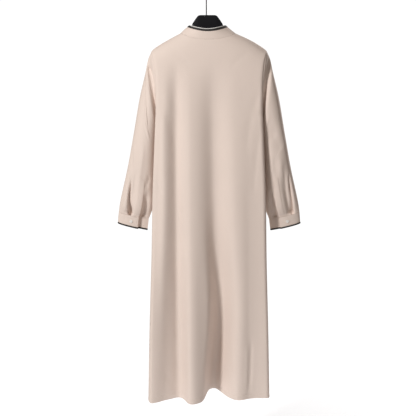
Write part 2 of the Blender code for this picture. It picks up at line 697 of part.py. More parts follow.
def main():
    for thing in list(bpy.data.objects):
        bpy.data.objects.remove(thing, do_unlink=True)

    cloth = finish("robe_cloth", (0.72, 0.60, 0.525), 0.85)
    binding = finish("black_binding", (0.012, 0.010, 0.009), 0.75)
    piping = finish("white_piping", (0.80, 0.80, 0.80), 0.70)
    pearl = finish("pearl_button", (0.86, 0.84, 0.80), 0.25)
    plastic = finish("hanger_plastic", (0.007, 0.007, 0.009), 0.40)
    wire = finish("hook_wire", (0.03, 0.03, 0.032), 0.35)

    back = make_panel("back", 1, BACK_SHOULDER_COLUMNS, cloth)
    front = make_panel("front", -1, FRONT_SHOULDER_COLUMNS, cloth)
    make_front_strip(cloth)

    cuff_height = np.hypot(CUFF_LOW_OUT[0] - SLEEVE[-1, 1], CUFF_LOW_OUT[1] - SLEEVE[-1, 2])
    trim_share = CUFF_TRIM / cuff_height
    gap_share = SEAM / cuff_height
    for side, label in ((1, "left"), (-1, "right")):
        armhole, beyond = armhole_loop(side, back, front)
        sleeve = make_sleeve("sleeve_" + label, side, armhole, beyond, cloth)
        make_sleeve_placket("sleeve_placket_" + label, sleeve, cloth)
        make_cuff("cuff_" + label, side, 0.0, 1 - trim_share - gap_share, cloth)
        make_cuff("cuff_binding_" + label, side, 1 - trim_share, 1.0, binding)
        seat = cuff_ring(side, np.array(CUFF_BUTTON_TURN), np.array(CUFF_BUTTON_SHARE),
                         STIFF_CLOTH + 2 * LAP_GAP)
        make_button("cuff_button_" + label, lean(seat), (0.0, 1.0, 0.0), pearl)

    lines = collar_lines(back[0], front[0])
    gap = SEAM / np.linalg.norm(lines[1] - lines[0], axis=-1).min()
    make_collar_band("collar", lines, 0.0, COLLAR_BINDING_SHARE - gap, cloth)
    make_collar_band("collar_binding", lines, COLLAR_BINDING_SHARE, COLLAR_PIPING_SHARE - gap, binding)
    make_collar_band("collar_piping", lines, COLLAR_PIPING_SHARE, 1.0, piping)

    low, high, normal, lift = lines
    last = -1 - COLLAR_OVERLAP
    middle = low[last] + (high[last] - low[last]) * COLLAR_BUTTON_SHARE * COLLAR_BINDING_SHARE
    seat = middle + normal[last] * (lift[last] + LAP_GAP)
    make_button("collar_button", lean(seat), normal[last], pearl)
    for number, height in enumerate(FRONT_BUTTON_Z, start=1):
        seat = front_surface(np.array(0.0), np.array(height)) + FRONT_FACING * (CLOTH + 2 * LAP_GAP)
        make_button("front_button_%d" % number, lean(seat), FRONT_FACING, pearl)

    make_hanger(plastic)
    make_hook(wire)


main()
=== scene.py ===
"""Long thobe robe on a plain hanger: cloth, seams, trims and studio.

Every piece is a surface worked out from the garment's own cutting sizes, in metres, +Z up.
The front faces -Y, the back faces +Y, the wearer's left is +X, and the origin is the top of the
hook's inside. Each group of pieces has an operator of its own.
"""

import bpy
import numpy as np
from bpy.props import FloatProperty, FloatVectorProperty, PointerProperty
from bpy.types import Operator, Panel, PropertyGroup
from mathutils import Matrix


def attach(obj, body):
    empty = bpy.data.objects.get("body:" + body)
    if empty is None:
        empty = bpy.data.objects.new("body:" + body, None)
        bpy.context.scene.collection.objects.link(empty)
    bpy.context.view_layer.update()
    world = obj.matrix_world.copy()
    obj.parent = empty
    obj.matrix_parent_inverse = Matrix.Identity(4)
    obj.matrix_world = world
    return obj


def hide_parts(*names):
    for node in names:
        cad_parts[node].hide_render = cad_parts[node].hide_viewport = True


bl_info = {
    "name": "Thobe robe maker",
    "version": (1, 0, 0),
    "blender": (4, 5, 0),
    "location": "3D View > Sidebar > Robe",
    "description": "Makes a long robe on a hanger, with its seams, trims and a plain studio",
    "category": "Object",
}

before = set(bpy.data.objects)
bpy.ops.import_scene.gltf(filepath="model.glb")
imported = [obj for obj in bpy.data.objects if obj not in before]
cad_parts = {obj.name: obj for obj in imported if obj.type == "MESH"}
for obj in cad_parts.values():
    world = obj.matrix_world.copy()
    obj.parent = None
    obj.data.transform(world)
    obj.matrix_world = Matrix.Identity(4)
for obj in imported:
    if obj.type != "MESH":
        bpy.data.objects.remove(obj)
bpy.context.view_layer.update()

# Cloth and seams of the solids
CLOTH = 0.0013
STIFF_CLOTH = 0.0022
SEAM = 0.0003
LAP_GAP = 0.0005

# Shoulder line, neckline and hem, measured from the garment's middle
NECK_X = 0.102
NECK_Z = -0.1735
TIP_X = 0.217
TIP_Z = -0.2385
SHOULDER_CROWN = 0.003
BACK_NECK_Z = -0.197
FRONT_NECK_Z = -0.224
NECK_CURVE = 2.4
UNDERARM_Z = -0.480
HEM_Z = -1.595
SHOULDER_FALL = 0.035
SHOULDER_ROUND = 0.7

# Corners of the flat hanging body
CORNER_RADIUS = 0.014
SIDE_SEAM_Y = -0.005
ARMHOLE_TURN = np.radians(58.0)
ARMHOLE_CURVE_Z = -0.380
ARMHOLE_CURVE = 2.2
ARMHOLE_SPACING = 1.5
ARMHOLE_INSIDE = 0.985
ARMHOLE_MEETING = 0.06

# The garment sits a little to the wearer's right below the hanger's hump
LEAN = -0.0065
LEAN_TOP_Z = -0.155
LEAN_FULL_Z = -0.205

# Body sections: height, half width across the back, depth of back and of front, slant of the sides
SECTIONS = np.array([
    (-0.150, 0.2170, 0.055, 0.050, 0.0),
    (-0.239, 0.2170, 0.055, 0.052, 0.0),
    (-0.280, 0.2070, 0.054, 0.053, 8.0),
    (-0.330, 0.2020, 0.054, 0.055, 14.0),
    (-0.420, 0.2005, 0.055, 0.058, 15.0),
    (-0.560, 0.2060, 0.057, 0.062, 14.0),
    (-0.740, 0.2150, 0.062, 0.066, 12.0),
    (-1.050, 0.2235, 0.070, 0.072, 9.0),
    (-1.310, 0.2330, 0.074, 0.079, 7.0),
    (-1.595, 0.2420, 0.075, 0.085, 5.0),
])

# Hanging folds: place across at the last four heights, rise there (negative is a valley),
# half width on the side of +X and of -X, and how square each side is at the hem
FOLD_HEIGHTS = np.array([-0.27, -0.45, -0.85, -1.22, -1.595])
BELL_POWER = 2.0
BACK_FOLDS = np.array([
    (0.070, 0.069, 0.068, 0.066, 0.008, 0.016, 0.034, 0.054, 0.029, 0.052, 3.0, 2.0),
    (-0.014, -0.023, -0.043, -0.018, -0.010, -0.026, -0.062, -0.098, 0.033, 0.044, 4.0, 2.0),
    (0.124, 0.124, 0.124, 0.124, -0.009, -0.014, -0.013, -0.010, 0.020, 0.018, 2.0, 2.0),
    (0.166, 0.172, 0.180, 0.190, 0.006, 0.012, 0.006, 0.000, 0.022, 0.022, 2.0, 2.0),
    (0.190, 0.205, 0.222, 0.228, 0.000, 0.002, 0.032, 0.043, 0.020, 0.054, 2.0, 2.0),
    (-0.090, -0.100, -0.110, -0.116, 0.003, 0.009, 0.012, 0.018, 0.036, 0.056, 2.0, 2.0),
    (-0.150, -0.155, -0.160, -0.160, 0.000, -0.002, -0.004, -0.007, 0.022, 0.060, 2.0, 2.0),
])
FRONT_FOLDS = np.array([
    (0.085, 0.088, 0.096, 0.104, 0.004, 0.012, 0.026, 0.040, 0.030, 0.030, 2.5, 2.5),
    (0.140, 0.150, 0.155, 0.160, -0.003, -0.008, -0.013, -0.018, 0.024, 0.026, 2.0, 2.0),
    (0.046, 0.044, 0.047, 0.050, 0.000, -0.010, -0.028, -0.046, 0.024, 0.028, 2.5, 2.5),
    (-0.058, -0.064, -0.072, -0.080, 0.000, 0.010, 0.022, 0.036, 0.034, 0.030, 2.5, 2.5),
    (-0.118, -0.124, -0.130, -0.136, -0.004, -0.009, -0.015, -0.020, 0.026, 0.024, 2.0, 2.0),
])

# Sleeve: share of the way down, outer line (x, z), inner line (x, z), half depth, middle's y
SLEEVE = np.array([
    (0.00, 0.2170, -0.2385, 0.1850, -0.4800, 0.047, -0.003),
    (0.08, 0.2285, -0.2640, 0.1915, -0.4970, 0.047, -0.004),
    (0.20, 0.2400, -0.3150, 0.2005, -0.5350, 0.046, -0.007),
    (0.40, 0.2650, -0.4150, 0.2065, -0.6120, 0.046, -0.011),
    (0.60, 0.2915, -0.5550, 0.2110, -0.7000, 0.044, -0.014),
    (0.80, 0.3200, -0.6950, 0.2150, -0.7900, 0.040, -0.016),
    (0.92, 0.3480, -0.8120, 0.2190, -0.8450, 0.034, -0.018),
    (1.00, 0.3550, -0.8555, 0.2335, -0.8825, 0.019, -0.018),
])
SLEEVE_SETTLE = 0.26

# Sleeve folds: sleeve (1 left, -1 right, 0 both), degrees round it at the top and bottom of the
# fold, share of the way down where it starts and ends, rise, half width in degrees
SLEEVE_FOLDS = np.array([
    (1, 70, 72, 0.72, 0.985, -0.013, 13),
    (-1, 66, 64, 0.70, 0.985, -0.013, 13),
    (0, 124, 126, 0.76, 0.985, -0.009, 12),
    (1, 40, 96, 0.16, 0.42, -0.010, 16),
    (-1, 120, 60, 0.30, 0.62, -0.006, 18),
    (0, 236, 250, 0.30, 0.90, -0.008, 20),
])
RECESS_DEPTH = 0.017
RECESS_PLACE = 0.10
RECESS_WIDTH = 0.06
RECESS_FACING = 1.6
OPEN_END = 0.95
FOLD_START = 0.6
FOLD_STOP = 0.02
FOLD_WINDOW = 0.6

# Cuffs
CUFF_LOW_OUT = (0.3595, -0.9000)
CUFF_LOW_IN = (0.2400, -0.9290)
CUFF_LOW_DEPTH = 0.0185
CUFF_STATIONS = 28
CUFF_OVERLAP = 3
CUFF_EDGE_TURN = np.radians(108.0)
CUFF_TRIM = 0.0060
CUFF_BUTTON_TURN = np.radians(82.0)
CUFF_BUTTON_SHARE = 0.45
CUFF_HOLE = 0.0155

# Collar
COLLAR_STATIONS = 32
COLLAR_TOP_X = 0.0655
COLLAR_TOP_DEPTH = 0.042
COLLAR_TOP_SIDE_Z = -0.1425
COLLAR_TOP_BACK_Z = -0.1580
COLLAR_TOP_FRONT_Z = -0.1860
COLLAR_TOP_ROUND = 3.0
COLLAR_DIP_ROUND = 1.8
COLLAR_BASE_SHARE = 0.30
COLLAR_BINDING_SHARE = 0.745
COLLAR_PIPING_SHARE = 0.930
COLLAR_OVERLAP = 1
COLLAR_BUTTON_SHARE = 0.50
PIPING_RADIUS = 0.0014

# Front strip
STRIP_HALF_WIDTH = 0.015
STRIP_TOP_DROP = 0.009
STRIP_BOTTOM_Z = -0.560
STRIP_HOLE = 0.0150
FRONT_BUTTON_Z = (-0.290, -0.380, -0.470)

# Sleeve placket: turns round the sleeve and shares of the way down
PLACKET_TURNS = (np.radians(90.0), np.radians(108.0))
PLACKET_SHARES = (0.75, 0.97)

# Button: its holes' place, reach and depth, and the height of its bars of thread, as shares of its
# radius and thickness, and its turned profile as share of the radius and share of the thickness
BUTTON_RADIUS = 0.0060
BUTTON_THICKNESS = 0.0028
BUTTON_HOLE_PLACE = 0.27
BUTTON_HOLE_REACH = 0.115
BUTTON_HOLE_DEPTH = 0.42
BUTTON_BAR_HEIGHT = 0.62
BUTTON_PROFILE = np.array([
    (0.80, 0.00), (0.93, 0.08), (1.00, 0.30), (1.00, 0.62), (0.96, 0.88), (0.89, 1.00),
    (0.80, 0.99), (0.72, 0.86), (0.66, 0.68), (0.58, 0.60), (0.52, 0.585), (0.46, 0.58),
    (0.41, 0.58), (0.37, 0.58), (0.33, 0.58), (0.29, 0.58), (0.25, 0.58), (0.21, 0.58),
    (0.16, 0.58), (0.10, 0.58), (0.05, 0.58),
])

# Folded tapes: share of the tape's height, and metres out from the wall it is folded over
CUFF_TAPE = np.array([
    (0.00, 0.00035), (0.10, 0.00075), (0.35, 0.00095), (0.65, 0.00090), (0.85, 0.00060),
    (0.96, 0.00000), (1.00, -0.0008), (1.00, -0.0016), (0.96, -0.0024), (0.80, -0.0028),
    (0.40, -0.0029), (0.10, -0.0027), (0.00, -0.00225),
])
COLLAR_TAPE = np.array([
    (0.00, 0.0003), (0.12, 0.0008), (0.40, 0.0010), (0.70, 0.0009), (0.92, 0.0005), (1.00, -0.0002),
    (1.00, -0.0018), (0.85, -0.0027), (0.40, -0.0030), (0.10, -0.0027), (0.00, -0.0022),
])

# Hanger
WIRE_RADIUS = 0.0021
HOOK_RADIUS = 0.0205
HOOK_FILLET = 0.0090
HOOK_TIP_TURN = np.radians(205.0)
STEM_X = 0.0040
HUMP_TOP_Z = -0.1075
HUMP_OUTLINE = np.array([
    (0.0000, -0.1075),
    (0.0290, -0.1075),
    (0.0360, -0.1105),
    (0.0410, -0.1170),
    (0.0495, -0.1285),
    (0.0565, -0.1390),
    (0.0595, -0.1480),
    (0.0690, -0.1570),
    (0.0880, -0.1720),
])
HUMP_LOW_Z = -0.172
ARM_HALF_THICKNESS = 0.0045
ARM_HEIGHT = 0.016
ARM_SEAT = 0.0012
ARM_END_X = 0.204
ARM_END_LENGTH = 0.008
ARM_END_SHARE = 0.14
ARM_CORNER = 0.0030

# The shown cloth: its wall, its turned-up hem, and how far in from each edge a seam shows
WALL = 0.0009
HEM_DEPTH = 0.020
HEM_WALL = 0.0019
SEAM_REACH = 0.009
SEAM_RISE = 0.0007
PUCKER_RISE = 0.00030
PUCKER_LENGTH = 0.013
HEM_STITCH_WIDTH = 0.0022
HEM_SINK = 0.0007
HEM_RISE = 0.0004
ROPING_RISE = 0.00022
ROPING_LENGTH = 0.016
CREASE_INSET = 0.02
SOFT_EDGE = 0.0003

# Sewing: how much of its pitch a stitch fills, how far a thread sinks as a share of its radius, and
# radius and rise of each kind of thread, after its length where that is fixed
STITCH_FILL = 0.72
HEM_PITCH_GAIN = 1.25
EDGE_INSET = 0.0030
THREAD_SINK = 0.4
STITCH_THREAD = (0.00026, 0.00022)
BUTTON_THREAD = (0.00042, 0.0003)
HOLE_THREAD = (0.0015, 0.00030, 0.00020)
HOLE_PITCH = 0.00055
HOLE_LIP = 0.0009

# Soft creases beside the main folds, in the garment's own x and z: first point, last point,
# bow to the side, rise (negative is a trough), half width on each side
BACK_CREASES = np.array([
    (-0.166, -1.330, -0.159, -1.590, 0.003, -0.0026, 0.006, 0.011),
    (-0.148, -1.350, -0.146, -1.590, 0.002, 0.0018, 0.008, 0.008),
    (0.166, -0.420, 0.176, -0.760, -0.004, 0.0016, 0.010, 0.012),
    (0.205, -0.705, 0.178, -0.775, 0.002, -0.0018, 0.005, 0.008),
    (0.198, -0.360, 0.120, -0.640, 0.010, -0.0010, 0.012, 0.016),
    (-0.196, -0.350, -0.135, -0.640, -0.010, -0.0011, 0.012, 0.016),
    (-0.200, -0.480, -0.168, -0.800, -0.006, -0.0013, 0.010, 0.014),
    (0.150, -0.230, 0.060, -0.300, 0.006, -0.0006, 0.010, 0.012),
    (-0.160, -0.235, -0.070, -0.310, -0.006, -0.0006, 0.010, 0.012),
    (0.150, -1.300, 0.112, -1.420, 0.004, 0.0010, 0.010, 0.012),
    (-0.190, -0.980, -0.080, -1.012, 0.004, -0.0005, 0.008, 0.008),
    (0.185, -1.470, 0.130, -1.560, 0.004, -0.0012, 0.008, 0.010),
])
FRONT_CREASES = np.array([
    (0.196, -0.350, 0.120, -0.620, 0.010, -0.0012, 0.012, 0.015),
    (-0.196, -0.360, -0.128, -0.650, -0.010, -0.0012, 0.012, 0.015),
    (0.022, -0.560, 0.030, -0.900, 0.004, -0.0014, 0.010, 0.014),
    (-0.022, -0.580, -0.034, -0.960, -0.004, 0.0012, 0.010, 0.014),
    (-0.170, -1.280, -0.182, -1.590, 0.004, -0.0022, 0.007, 0.011),
    (0.188, -1.180, 0.196, -1.585, -0.004, -0.0020, 0.008, 0.012),
    (0.010, -1.200, 0.002, -1.590, 0.003, 0.0018, 0.010, 0.010),
    (-0.140, -0.235, -0.060, -0.330, -0.006, -0.0006, 0.010, 0.012),
    (0.140, -0.235, 0.060, -0.330, 0.006, -0.0006, 0.010, 0.012),
])

# Sleeve creases: sleeve, then as above with degrees round the sleeve and share of the way down
SLEEVE_CREASES = np.array([
    (1, 4, 0.136, 112, 0.040, 0.003, -0.0050, 0.005, 0.012),
    (1, 88, 0.50, 78, 0.93, 0.003, 0.0022, 0.008, 0.010),
    (1, 51, 0.800, 83, 1.060, 0.000, -0.0170, 0.0036, 0.0050),
    (1, 30, 0.120, 106, 0.460, 0.000, 0.0092, 0.0130, 0.0130),
    (1, 30, 0.640, 60, 0.900, 0.002, -0.0030, 0.007, 0.010),
    (1, 130, 0.66, 112, 0.80, 0.002, -0.0026, 0.006, 0.009),
    (-1, 76, 0.62, 58, 0.93, 0.003, 0.0024, 0.008, 0.010),
    (-1, 40, 0.780, 63, 1.060, 0.000, -0.0130, 0.0045, 0.0050),
    (-1, 44, 0.050, 46, 0.900, 0.000, 0.0045, 0.0320, 0.0260),
    (-1, 96, 0.58, 88, 0.80, 0.002, -0.0016, 0.007, 0.010),
    (-1, 118, 0.66, 104, 0.84, -0.002, -0.0022, 0.006, 0.009),
    (-1, 30, 0.04, 110, 0.14, 0.004, -0.0024, 0.006, 0.009),
    (-1, 130, 0.36, 70, 0.52, 0.004, -0.0012, 0.010, 0.012),
    (0, 220, 0.10, 300, 0.30, 0.004, -0.0024, 0.008, 0.010),
    (0, 250, 0.42, 300, 0.60, 0.004, -0.0018, 0.009, 0.012),
    (0, 290, 0.62, 262, 0.96, 0.004, -0.0026, 0.007, 0.010),
    (0, 232, 0.70, 226, 0.97, 0.002, -0.0024, 0.006, 0.010),
])
SLEEVE_LENGTH = 0.62
SLEEVE_RADIUS = 0.050

# The sleeve's opening gapes beside its placket: depth on each sleeve, where it starts and ends
# round the sleeve, how steep its edge is, and the shares of the way down over which it deepens
GAPE_DEPTH = {1: 0.012, -1: 0.006}
GAPE_TURNS = (np.radians(109.0), np.radians(235.0))
GAPE_EDGE = np.radians(5.0)
GAPE_SHARES = (0.82, 0.95)

# Mesh steps of the shown surfaces
NECK_STEPS = 34
SHOULDER_STEPS = 42
ARMHOLE_STEPS = 84
SKIRT_STEPS = 112
HEM_STEPS = 22
SLEEVE_TURNS = 186
SLEEVE_ROWS = 176
SLEEVE_CROWDING = 0.35
CUFF_STEP = 1 / 7
CUFF_ROWS = 26
COLLAR_STEP = 1 / 8
COLLAR_ROWS = 22
STRIP_COLUMNS = 25
STRIP_ROWS = 150
BUTTON_TURNS = 44
PIPING_SIDES = 14
THREAD_SIDES = 5
ARM_SIDES = 28
WIRE_SIDES = 20
FLOOR_RINGS = 13
FLOOR_TURNS = 96
SHARP_ANGLE = np.radians(58.0)

# Name of the pieces' own map, and sockets of the colour Mix node
CLOTH_MAP = "cloth"
MIX_FACTOR, MIX_FIRST, MIX_LAST, MIX_RESULT = 0, 6, 7, 2

# Lights
LIGHT_TARGET = (0.0, 0.0, -0.65)
WARM_LIGHT = (1.0, 0.99, 0.975)
COOL_LIGHT = (0.98, 0.99, 1.0)

# Way that the robe's back faces
BACKWARDS = np.array((0.0, 1.0, 0.0))


def smooth(share):
    """Eases from 0 to 1 as share goes from 0 to 1: three share squared less two share cubed."""
    share = np.clip(share, 0.0, 1.0)
    return share * share * (3.0 - 2.0 * share)


def through(place, knots, values):
    """Smooth curve through a table's points: cubic pieces whose slopes come from the neighbours."""
    slopes = np.gradient(values, knots)
    first = np.clip(np.searchsorted(knots, place) - 1, 0, len(knots) - 2)
    width = knots[first + 1] - knots[first]
    t = np.clip((place - knots[first]) / width, 0.0, 1.0)
    start = values[first] * (1 + 2 * t) * (1 - t) ** 2 + slopes[first] * width * t * (1 - t) ** 2
    end = values[first + 1] * t * t * (3 - 2 * t) - slopes[first + 1] * width * t * t * (1 - t)
    return start + end


def unit(vectors):
    """Each vector divided by its own length."""
    return vectors / np.maximum(np.linalg.norm(vectors, axis=-1, keepdims=True), 1e-12)


def lean(points):
    """Moves points sideways by the garment's lean, eased in below the hump."""
    share = (LEAN_TOP_Z - points[..., 2:]) / (LEAN_TOP_Z - LEAN_FULL_Z)
    return points + smooth(share) * np.array((LEAN, 0.0, 0.0))


def section(height, column):
    """One column of the body's section table, read smoothly at a height."""
    return through(-height, -SECTIONS[:, 0], SECTIONS[:, column])


def shoulder_line(x):
    """Height of the shoulder seam: a straight fall from neck to tip with a sine crown on it."""
    share = (np.abs(x) - NECK_X) / (TIP_X - NECK_X)
    crown = SHOULDER_CROWN * np.sin(np.pi * np.clip(share, 0.0, 1.0))
    return NECK_Z + (TIP_Z - NECK_Z) * share + crown


def top_edge(side, x):
    """Upper edge of a panel: a power curve along the neckline, the shoulder seam outside it."""
    middle = BACK_NECK_Z if side > 0 else FRONT_NECK_Z
    share = np.clip(np.abs(x) / NECK_X, 0.0, 1.0)
    neckline = middle + (NECK_Z - middle) * share ** NECK_CURVE
    return np.where(np.abs(x) < NECK_X, neckline, shoulder_line(x))


def round_corner(run, flat, turn):
    """A straight run, an arc of the corner's radius through turn, then straight again."""
    arc = np.clip(run - flat, 0.0, CORNER_RADIUS * turn) / CORNER_RADIUS
    tail = np.maximum(run - flat - CORNER_RADIUS * turn, 0.0)
    across = np.minimum(run, flat) + CORNER_RADIUS * np.sin(arc) + tail * np.cos(turn)
    fallen = CORNER_RADIUS * (1.0 - np.cos(arc)) + tail * np.sin(turn)
    return across, fallen


def half_profile(side, height):
    """Flat length, corner turn, depth and full run of one panel's half section at a height."""
    slant = np.radians(section(height, 4))
    back_flat = section(height, 1) - CORNER_RADIUS
    back_turn = np.pi / 2 + slant
    back_depth = section(height, 2)
    back_tail = (back_depth - SIDE_SEAM_Y - SEAM / 2
                 - CORNER_RADIUS * (1 - np.cos(back_turn))) / np.sin(back_turn)
    seam_x = back_flat + CORNER_RADIUS * np.sin(back_turn) + back_tail * np.cos(back_turn)
    if side > 0:
        return back_flat, back_turn, back_depth, back_flat + CORNER_RADIUS * back_turn + back_tail
    turn = np.pi / 2 - slant
    depth = section(height, 3)
    tail = (depth + SIDE_SEAM_Y - SEAM / 2 - CORNER_RADIUS * (1 - np.cos(turn))) / np.sin(turn)
    flat = seam_x - CORNER_RADIUS * np.sin(turn) - tail * np.cos(turn)
    return flat, turn, depth, flat + CORNER_RADIUS * turn + tail


def folds(table, x, height):
    """Sum of the hanging folds: rise times the exponential of minus distance over width to a power.

    Place and rise change with height. The power grows from 2 at the waist to its own at the hem."""
    total = np.zeros_like(x)
    squared = np.clip((FOLD_HEIGHTS[2] - height) / (FOLD_HEIGHTS[2] - HEM_Z), 0.0, 1.0)
    for row in table:
        place = through(-height, -FOLD_HEIGHTS[1:], row[0:4])
        rise = through(-height, -FOLD_HEIGHTS, np.concatenate(([0.0], row[4:8])))
        plus = x > place
        width = np.where(plus, row[8], row[9])
        power = BELL_POWER + (np.where(plus, row[10], row[11]) - BELL_POWER) * squared
        total += rise * np.exp(-(np.abs(x - place) / width) ** power)
    return total


def panel(side, across, down):
    """Surface of the back (side 1) or front (side -1): a flat section with round corners.

    across runs from -1 to 1 between the side edges, down from 0 at the shoulders to 1 at the hem.
    It fills out below the shoulder seam, whose line turns to a parabola inside the neck."""
    height = top_edge(side, across * TIP_X) * (1.0 - down) + HEM_Z * down
    flat, turn, depth, full = half_profile(side, height)
    armhole_run = flat + CORNER_RADIUS * ARMHOLE_TURN
    share = np.clip((ARMHOLE_CURVE_Z - height) / (ARMHOLE_CURVE_Z - UNDERARM_Z), 0.0, 1.0)
    run = np.abs(across) * (armhole_run + (full - armhole_run) * share ** ARMHOLE_CURVE)
    x, fallen = round_corner(run, flat, turn)
    x = x * np.sign(across)
    seam_y = side * SIDE_SEAM_Y
    above_seam = np.clip((depth - fallen - seam_y) / (depth - seam_y), 0.0, 1.0)
    table = BACK_FOLDS if side > 0 else FRONT_FOLDS
    from_middle = np.where(np.abs(x) < NECK_X, (NECK_X + x * x / NECK_X) / 2, np.abs(x))
    fall = np.maximum(shoulder_line(from_middle) - height, 0.0) / SHOULDER_FALL
    fill = 1.0 - np.exp(-fall ** SHOULDER_ROUND)
    y = (depth - fallen + folds(table, x, height) * above_seam) * fill
    return np.stack([x, side * y, height], axis=-1)


def creases(table, across, along):
    """Ridges and troughs: rise times a bell of the way from a bowed line, faded at its ends."""
    total = np.zeros_like(across)
    for x0, z0, x1, z1, bow, rise, plus_width, minus_width in table:
        length = np.hypot(x1 - x0, z1 - z0)
        dx = (x1 - x0) / length
        dz = (z1 - z0) / length
        share = ((across - x0) * dx + (along - z0) * dz) / length
        off = (across - x0) * dz - (along - z0) * dx - bow * np.sin(np.pi * np.clip(share, 0, 1))
        width = np.where(off > 0, plus_width, minus_width)
        ends = smooth(share / 0.3) * smooth((1 - share) / 0.3)
        total += rise * ends * np.exp(-(off / width) ** 2)
    return total


def arc_lengths(points, axis):
    """Distance travelled along each line of a grid, from its first point."""
    steps = np.linalg.norm(np.diff(points, axis=axis), axis=-1)
    start = np.zeros_like(np.take(steps, [0], axis=axis))
    return np.cumsum(np.concatenate([start, steps], axis=axis), axis=axis)


def grid_normals(points, outward, wrap=False):
    """Unit normals of a grid: the cross product of its two directions, turned to face outward."""
    if wrap:
        ring = points[:, :-1]
        around = np.roll(ring, -1, axis=1) - np.roll(ring, 1, axis=1)
        around = np.concatenate([around, around[:, :1]], axis=1)
    else:
        around = np.gradient(points, axis=1)
    normals = unit(np.cross(around, np.gradient(points, axis=0)))
    facing = np.sign(np.sum(normals * outward, axis=-1, keepdims=True))
    return normals * np.where(facing == 0, 1.0, facing)


def grid_sample(grid, row, column):
    """Values of a grid at places between its points, mixed from the four corners around each."""
    rows, columns = grid.shape[:2]
    r = np.clip(np.floor(row).astype(int), 0, rows - 2)
    c = np.clip(np.floor(column).astype(int), 0, columns - 2)
    u = (row - r)[..., None]
    v = (column - c)[..., None]
    near = grid[r, c] * (1 - v) + grid[r, c + 1] * v
    far = grid[r + 1, c] * (1 - v) + grid[r + 1, c + 1] * v
    return near * (1 - u) + far * u


def grid_faces(rows, columns, wrap=False):
    """Corner numbers of a grid's squares; a wrapped grid's last column joins its first."""
    row, column = np.meshgrid(np.arange(rows - 1), np.arange(columns if wrap else columns - 1),
                              indexing="ij")
    near = (row * columns + column).ravel()
    far = (row * columns + (column + 1) % columns).ravel()
    return np.stack([near, far, far + columns, near + columns], axis=1)


def pole_fans(rows, columns):
    """Corner numbers of the fans from a wrapped grid's first and last row to two added points."""
    near = np.arange(columns)
    far = (near + 1) % columns
    pole = np.full(columns, rows * columns)
    last = (rows - 1) * columns
    return np.concatenate([np.stack([far, near, pole], axis=1),
                           np.stack([last + near, last + far, pole + 1], axis=1)])


def wall_faces(rows, columns, wrap):
    """Corner numbers of a closed wall: outer squares, inner ones turned round, and rims.

    The inner points follow the outer ones, so a rim joins a number to itself plus their count."""
    count = rows * columns
    outer = grid_faces(rows, columns)
    top = np.arange(columns)
    low = top + count - columns
    edges = [(top[1:], top[:-1]), (low[:-1], low[1:])]
    if not wrap:
        first = np.arange(rows) * columns
        last = first + columns - 1
        edges += [(first[:-1], first[1:]), (last[1:], last[:-1])]
    rims = [np.stack([a, b, b + count, a + count], axis=1) for a, b in edges]
    return np.concatenate([outer, outer[:, ::-1] + count, *rims])


def mesh_object(name, points, faces, look, uv=None):
    """One object from points and arrays of faces, turned outwards by the sign of its volume.

    look names its material."""
    points = lean(points.reshape(-1, 3))
    corners = np.concatenate([f.reshape(-1) for f in faces])
    map_corners = corners if uv is None else np.concatenate([f.reshape(-1) for f in uv[1]])
    sizes = np.concatenate([np.full(len(f), f.shape[1]) for f in faces])
    starts = np.concatenate([[0], np.cumsum(sizes)[:-1]])
    volume = sum(np.sum(np.cross(points[f[:, 0]], points[f[:, k]]) * points[f[:, k + 1]])
                 for f in faces for k in range(1, f.shape[1] - 1))
    if volume < 0:
        order = np.concatenate([np.arange(first + count - 1, first - 1, -1)
                                for first, count in zip(starts, sizes)])
        corners = corners[order]
        map_corners = map_corners[order]
    mesh = bpy.data.meshes.new(name)
    mesh.vertices.add(len(points))
    mesh.vertices.foreach_set("co", points.ravel())
    mesh.loops.add(len(corners))
    mesh.loops.foreach_set("vertex_index", corners.astype(np.int32))
    mesh.polygons.add(len(sizes))
    mesh.polygons.foreach_set("loop_start", starts.astype(np.int32))
    if uv is not None:
        layer = mesh.uv_layers.new(name=CLOTH_MAP)
        layer.data.foreach_set("uv", uv[0].reshape(-1, 2)[map_corners].ravel())
    mesh.update(calc_edges=True)
    mesh.validate()
    mesh.shade_smooth()
    mesh.set_sharp_from_angle(angle=SHARP_ANGLE)
    mesh.materials.append(material(look))
    thing = bpy.data.objects.new(name, mesh)
    bpy.context.scene.collection.objects.link(thing)
    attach(thing, "root")
    return thing


def cloth_wall(name, outer, inner, wrap=False):
    """Closed wall of cloth between two matching grids, with a map in metres along both directions.

    A wrapped wall's grids repeat their first column as the last."""
    rows, columns = outer.shape[:2]
    across = arc_lengths(outer, 1)
    across = across - across[:, columns // 2:columns // 2 + 1]
    if wrap:
        across = np.broadcast_to(across[rows // 2], across.shape)
    chart = np.stack([across, arc_lengths(outer, 0)], axis=-1).reshape(-1, 2)
    on_map = wall_faces(rows, columns, wrap)
    used = columns - 1 if wrap else columns
    faces = on_map // columns * used + on_map % columns % used
    points = np.concatenate([outer[:, :used].reshape(-1, 3), inner[:, :used].reshape(-1, 3)])
    charts = np.concatenate([chart, chart])
    return mesh_object(name, points, [faces], "robe_cloth", (charts, [on_map]))


def profile_band(name, rings, look):
    """Closed strip from a profile carried along a path: rings[profile point, station], capped.

    Its map holds metres along it, and a millimetre around it for each point of the profile."""
    points, stations = rings.shape[:2]
    on_map = grid_faces(points + 1, stations)
    first = np.arange(points) * stations
    caps = np.stack([first[::-1], first + stations - 1])
    chart = np.meshgrid(arc_lengths(rings[:1], 1)[0], np.arange(points + 1) * 0.001)
    return mesh_object(name, rings.reshape(-1, 3), [on_map % (points * stations), caps], look,
                       (np.stack(chart, axis=-1), [on_map, caps]))


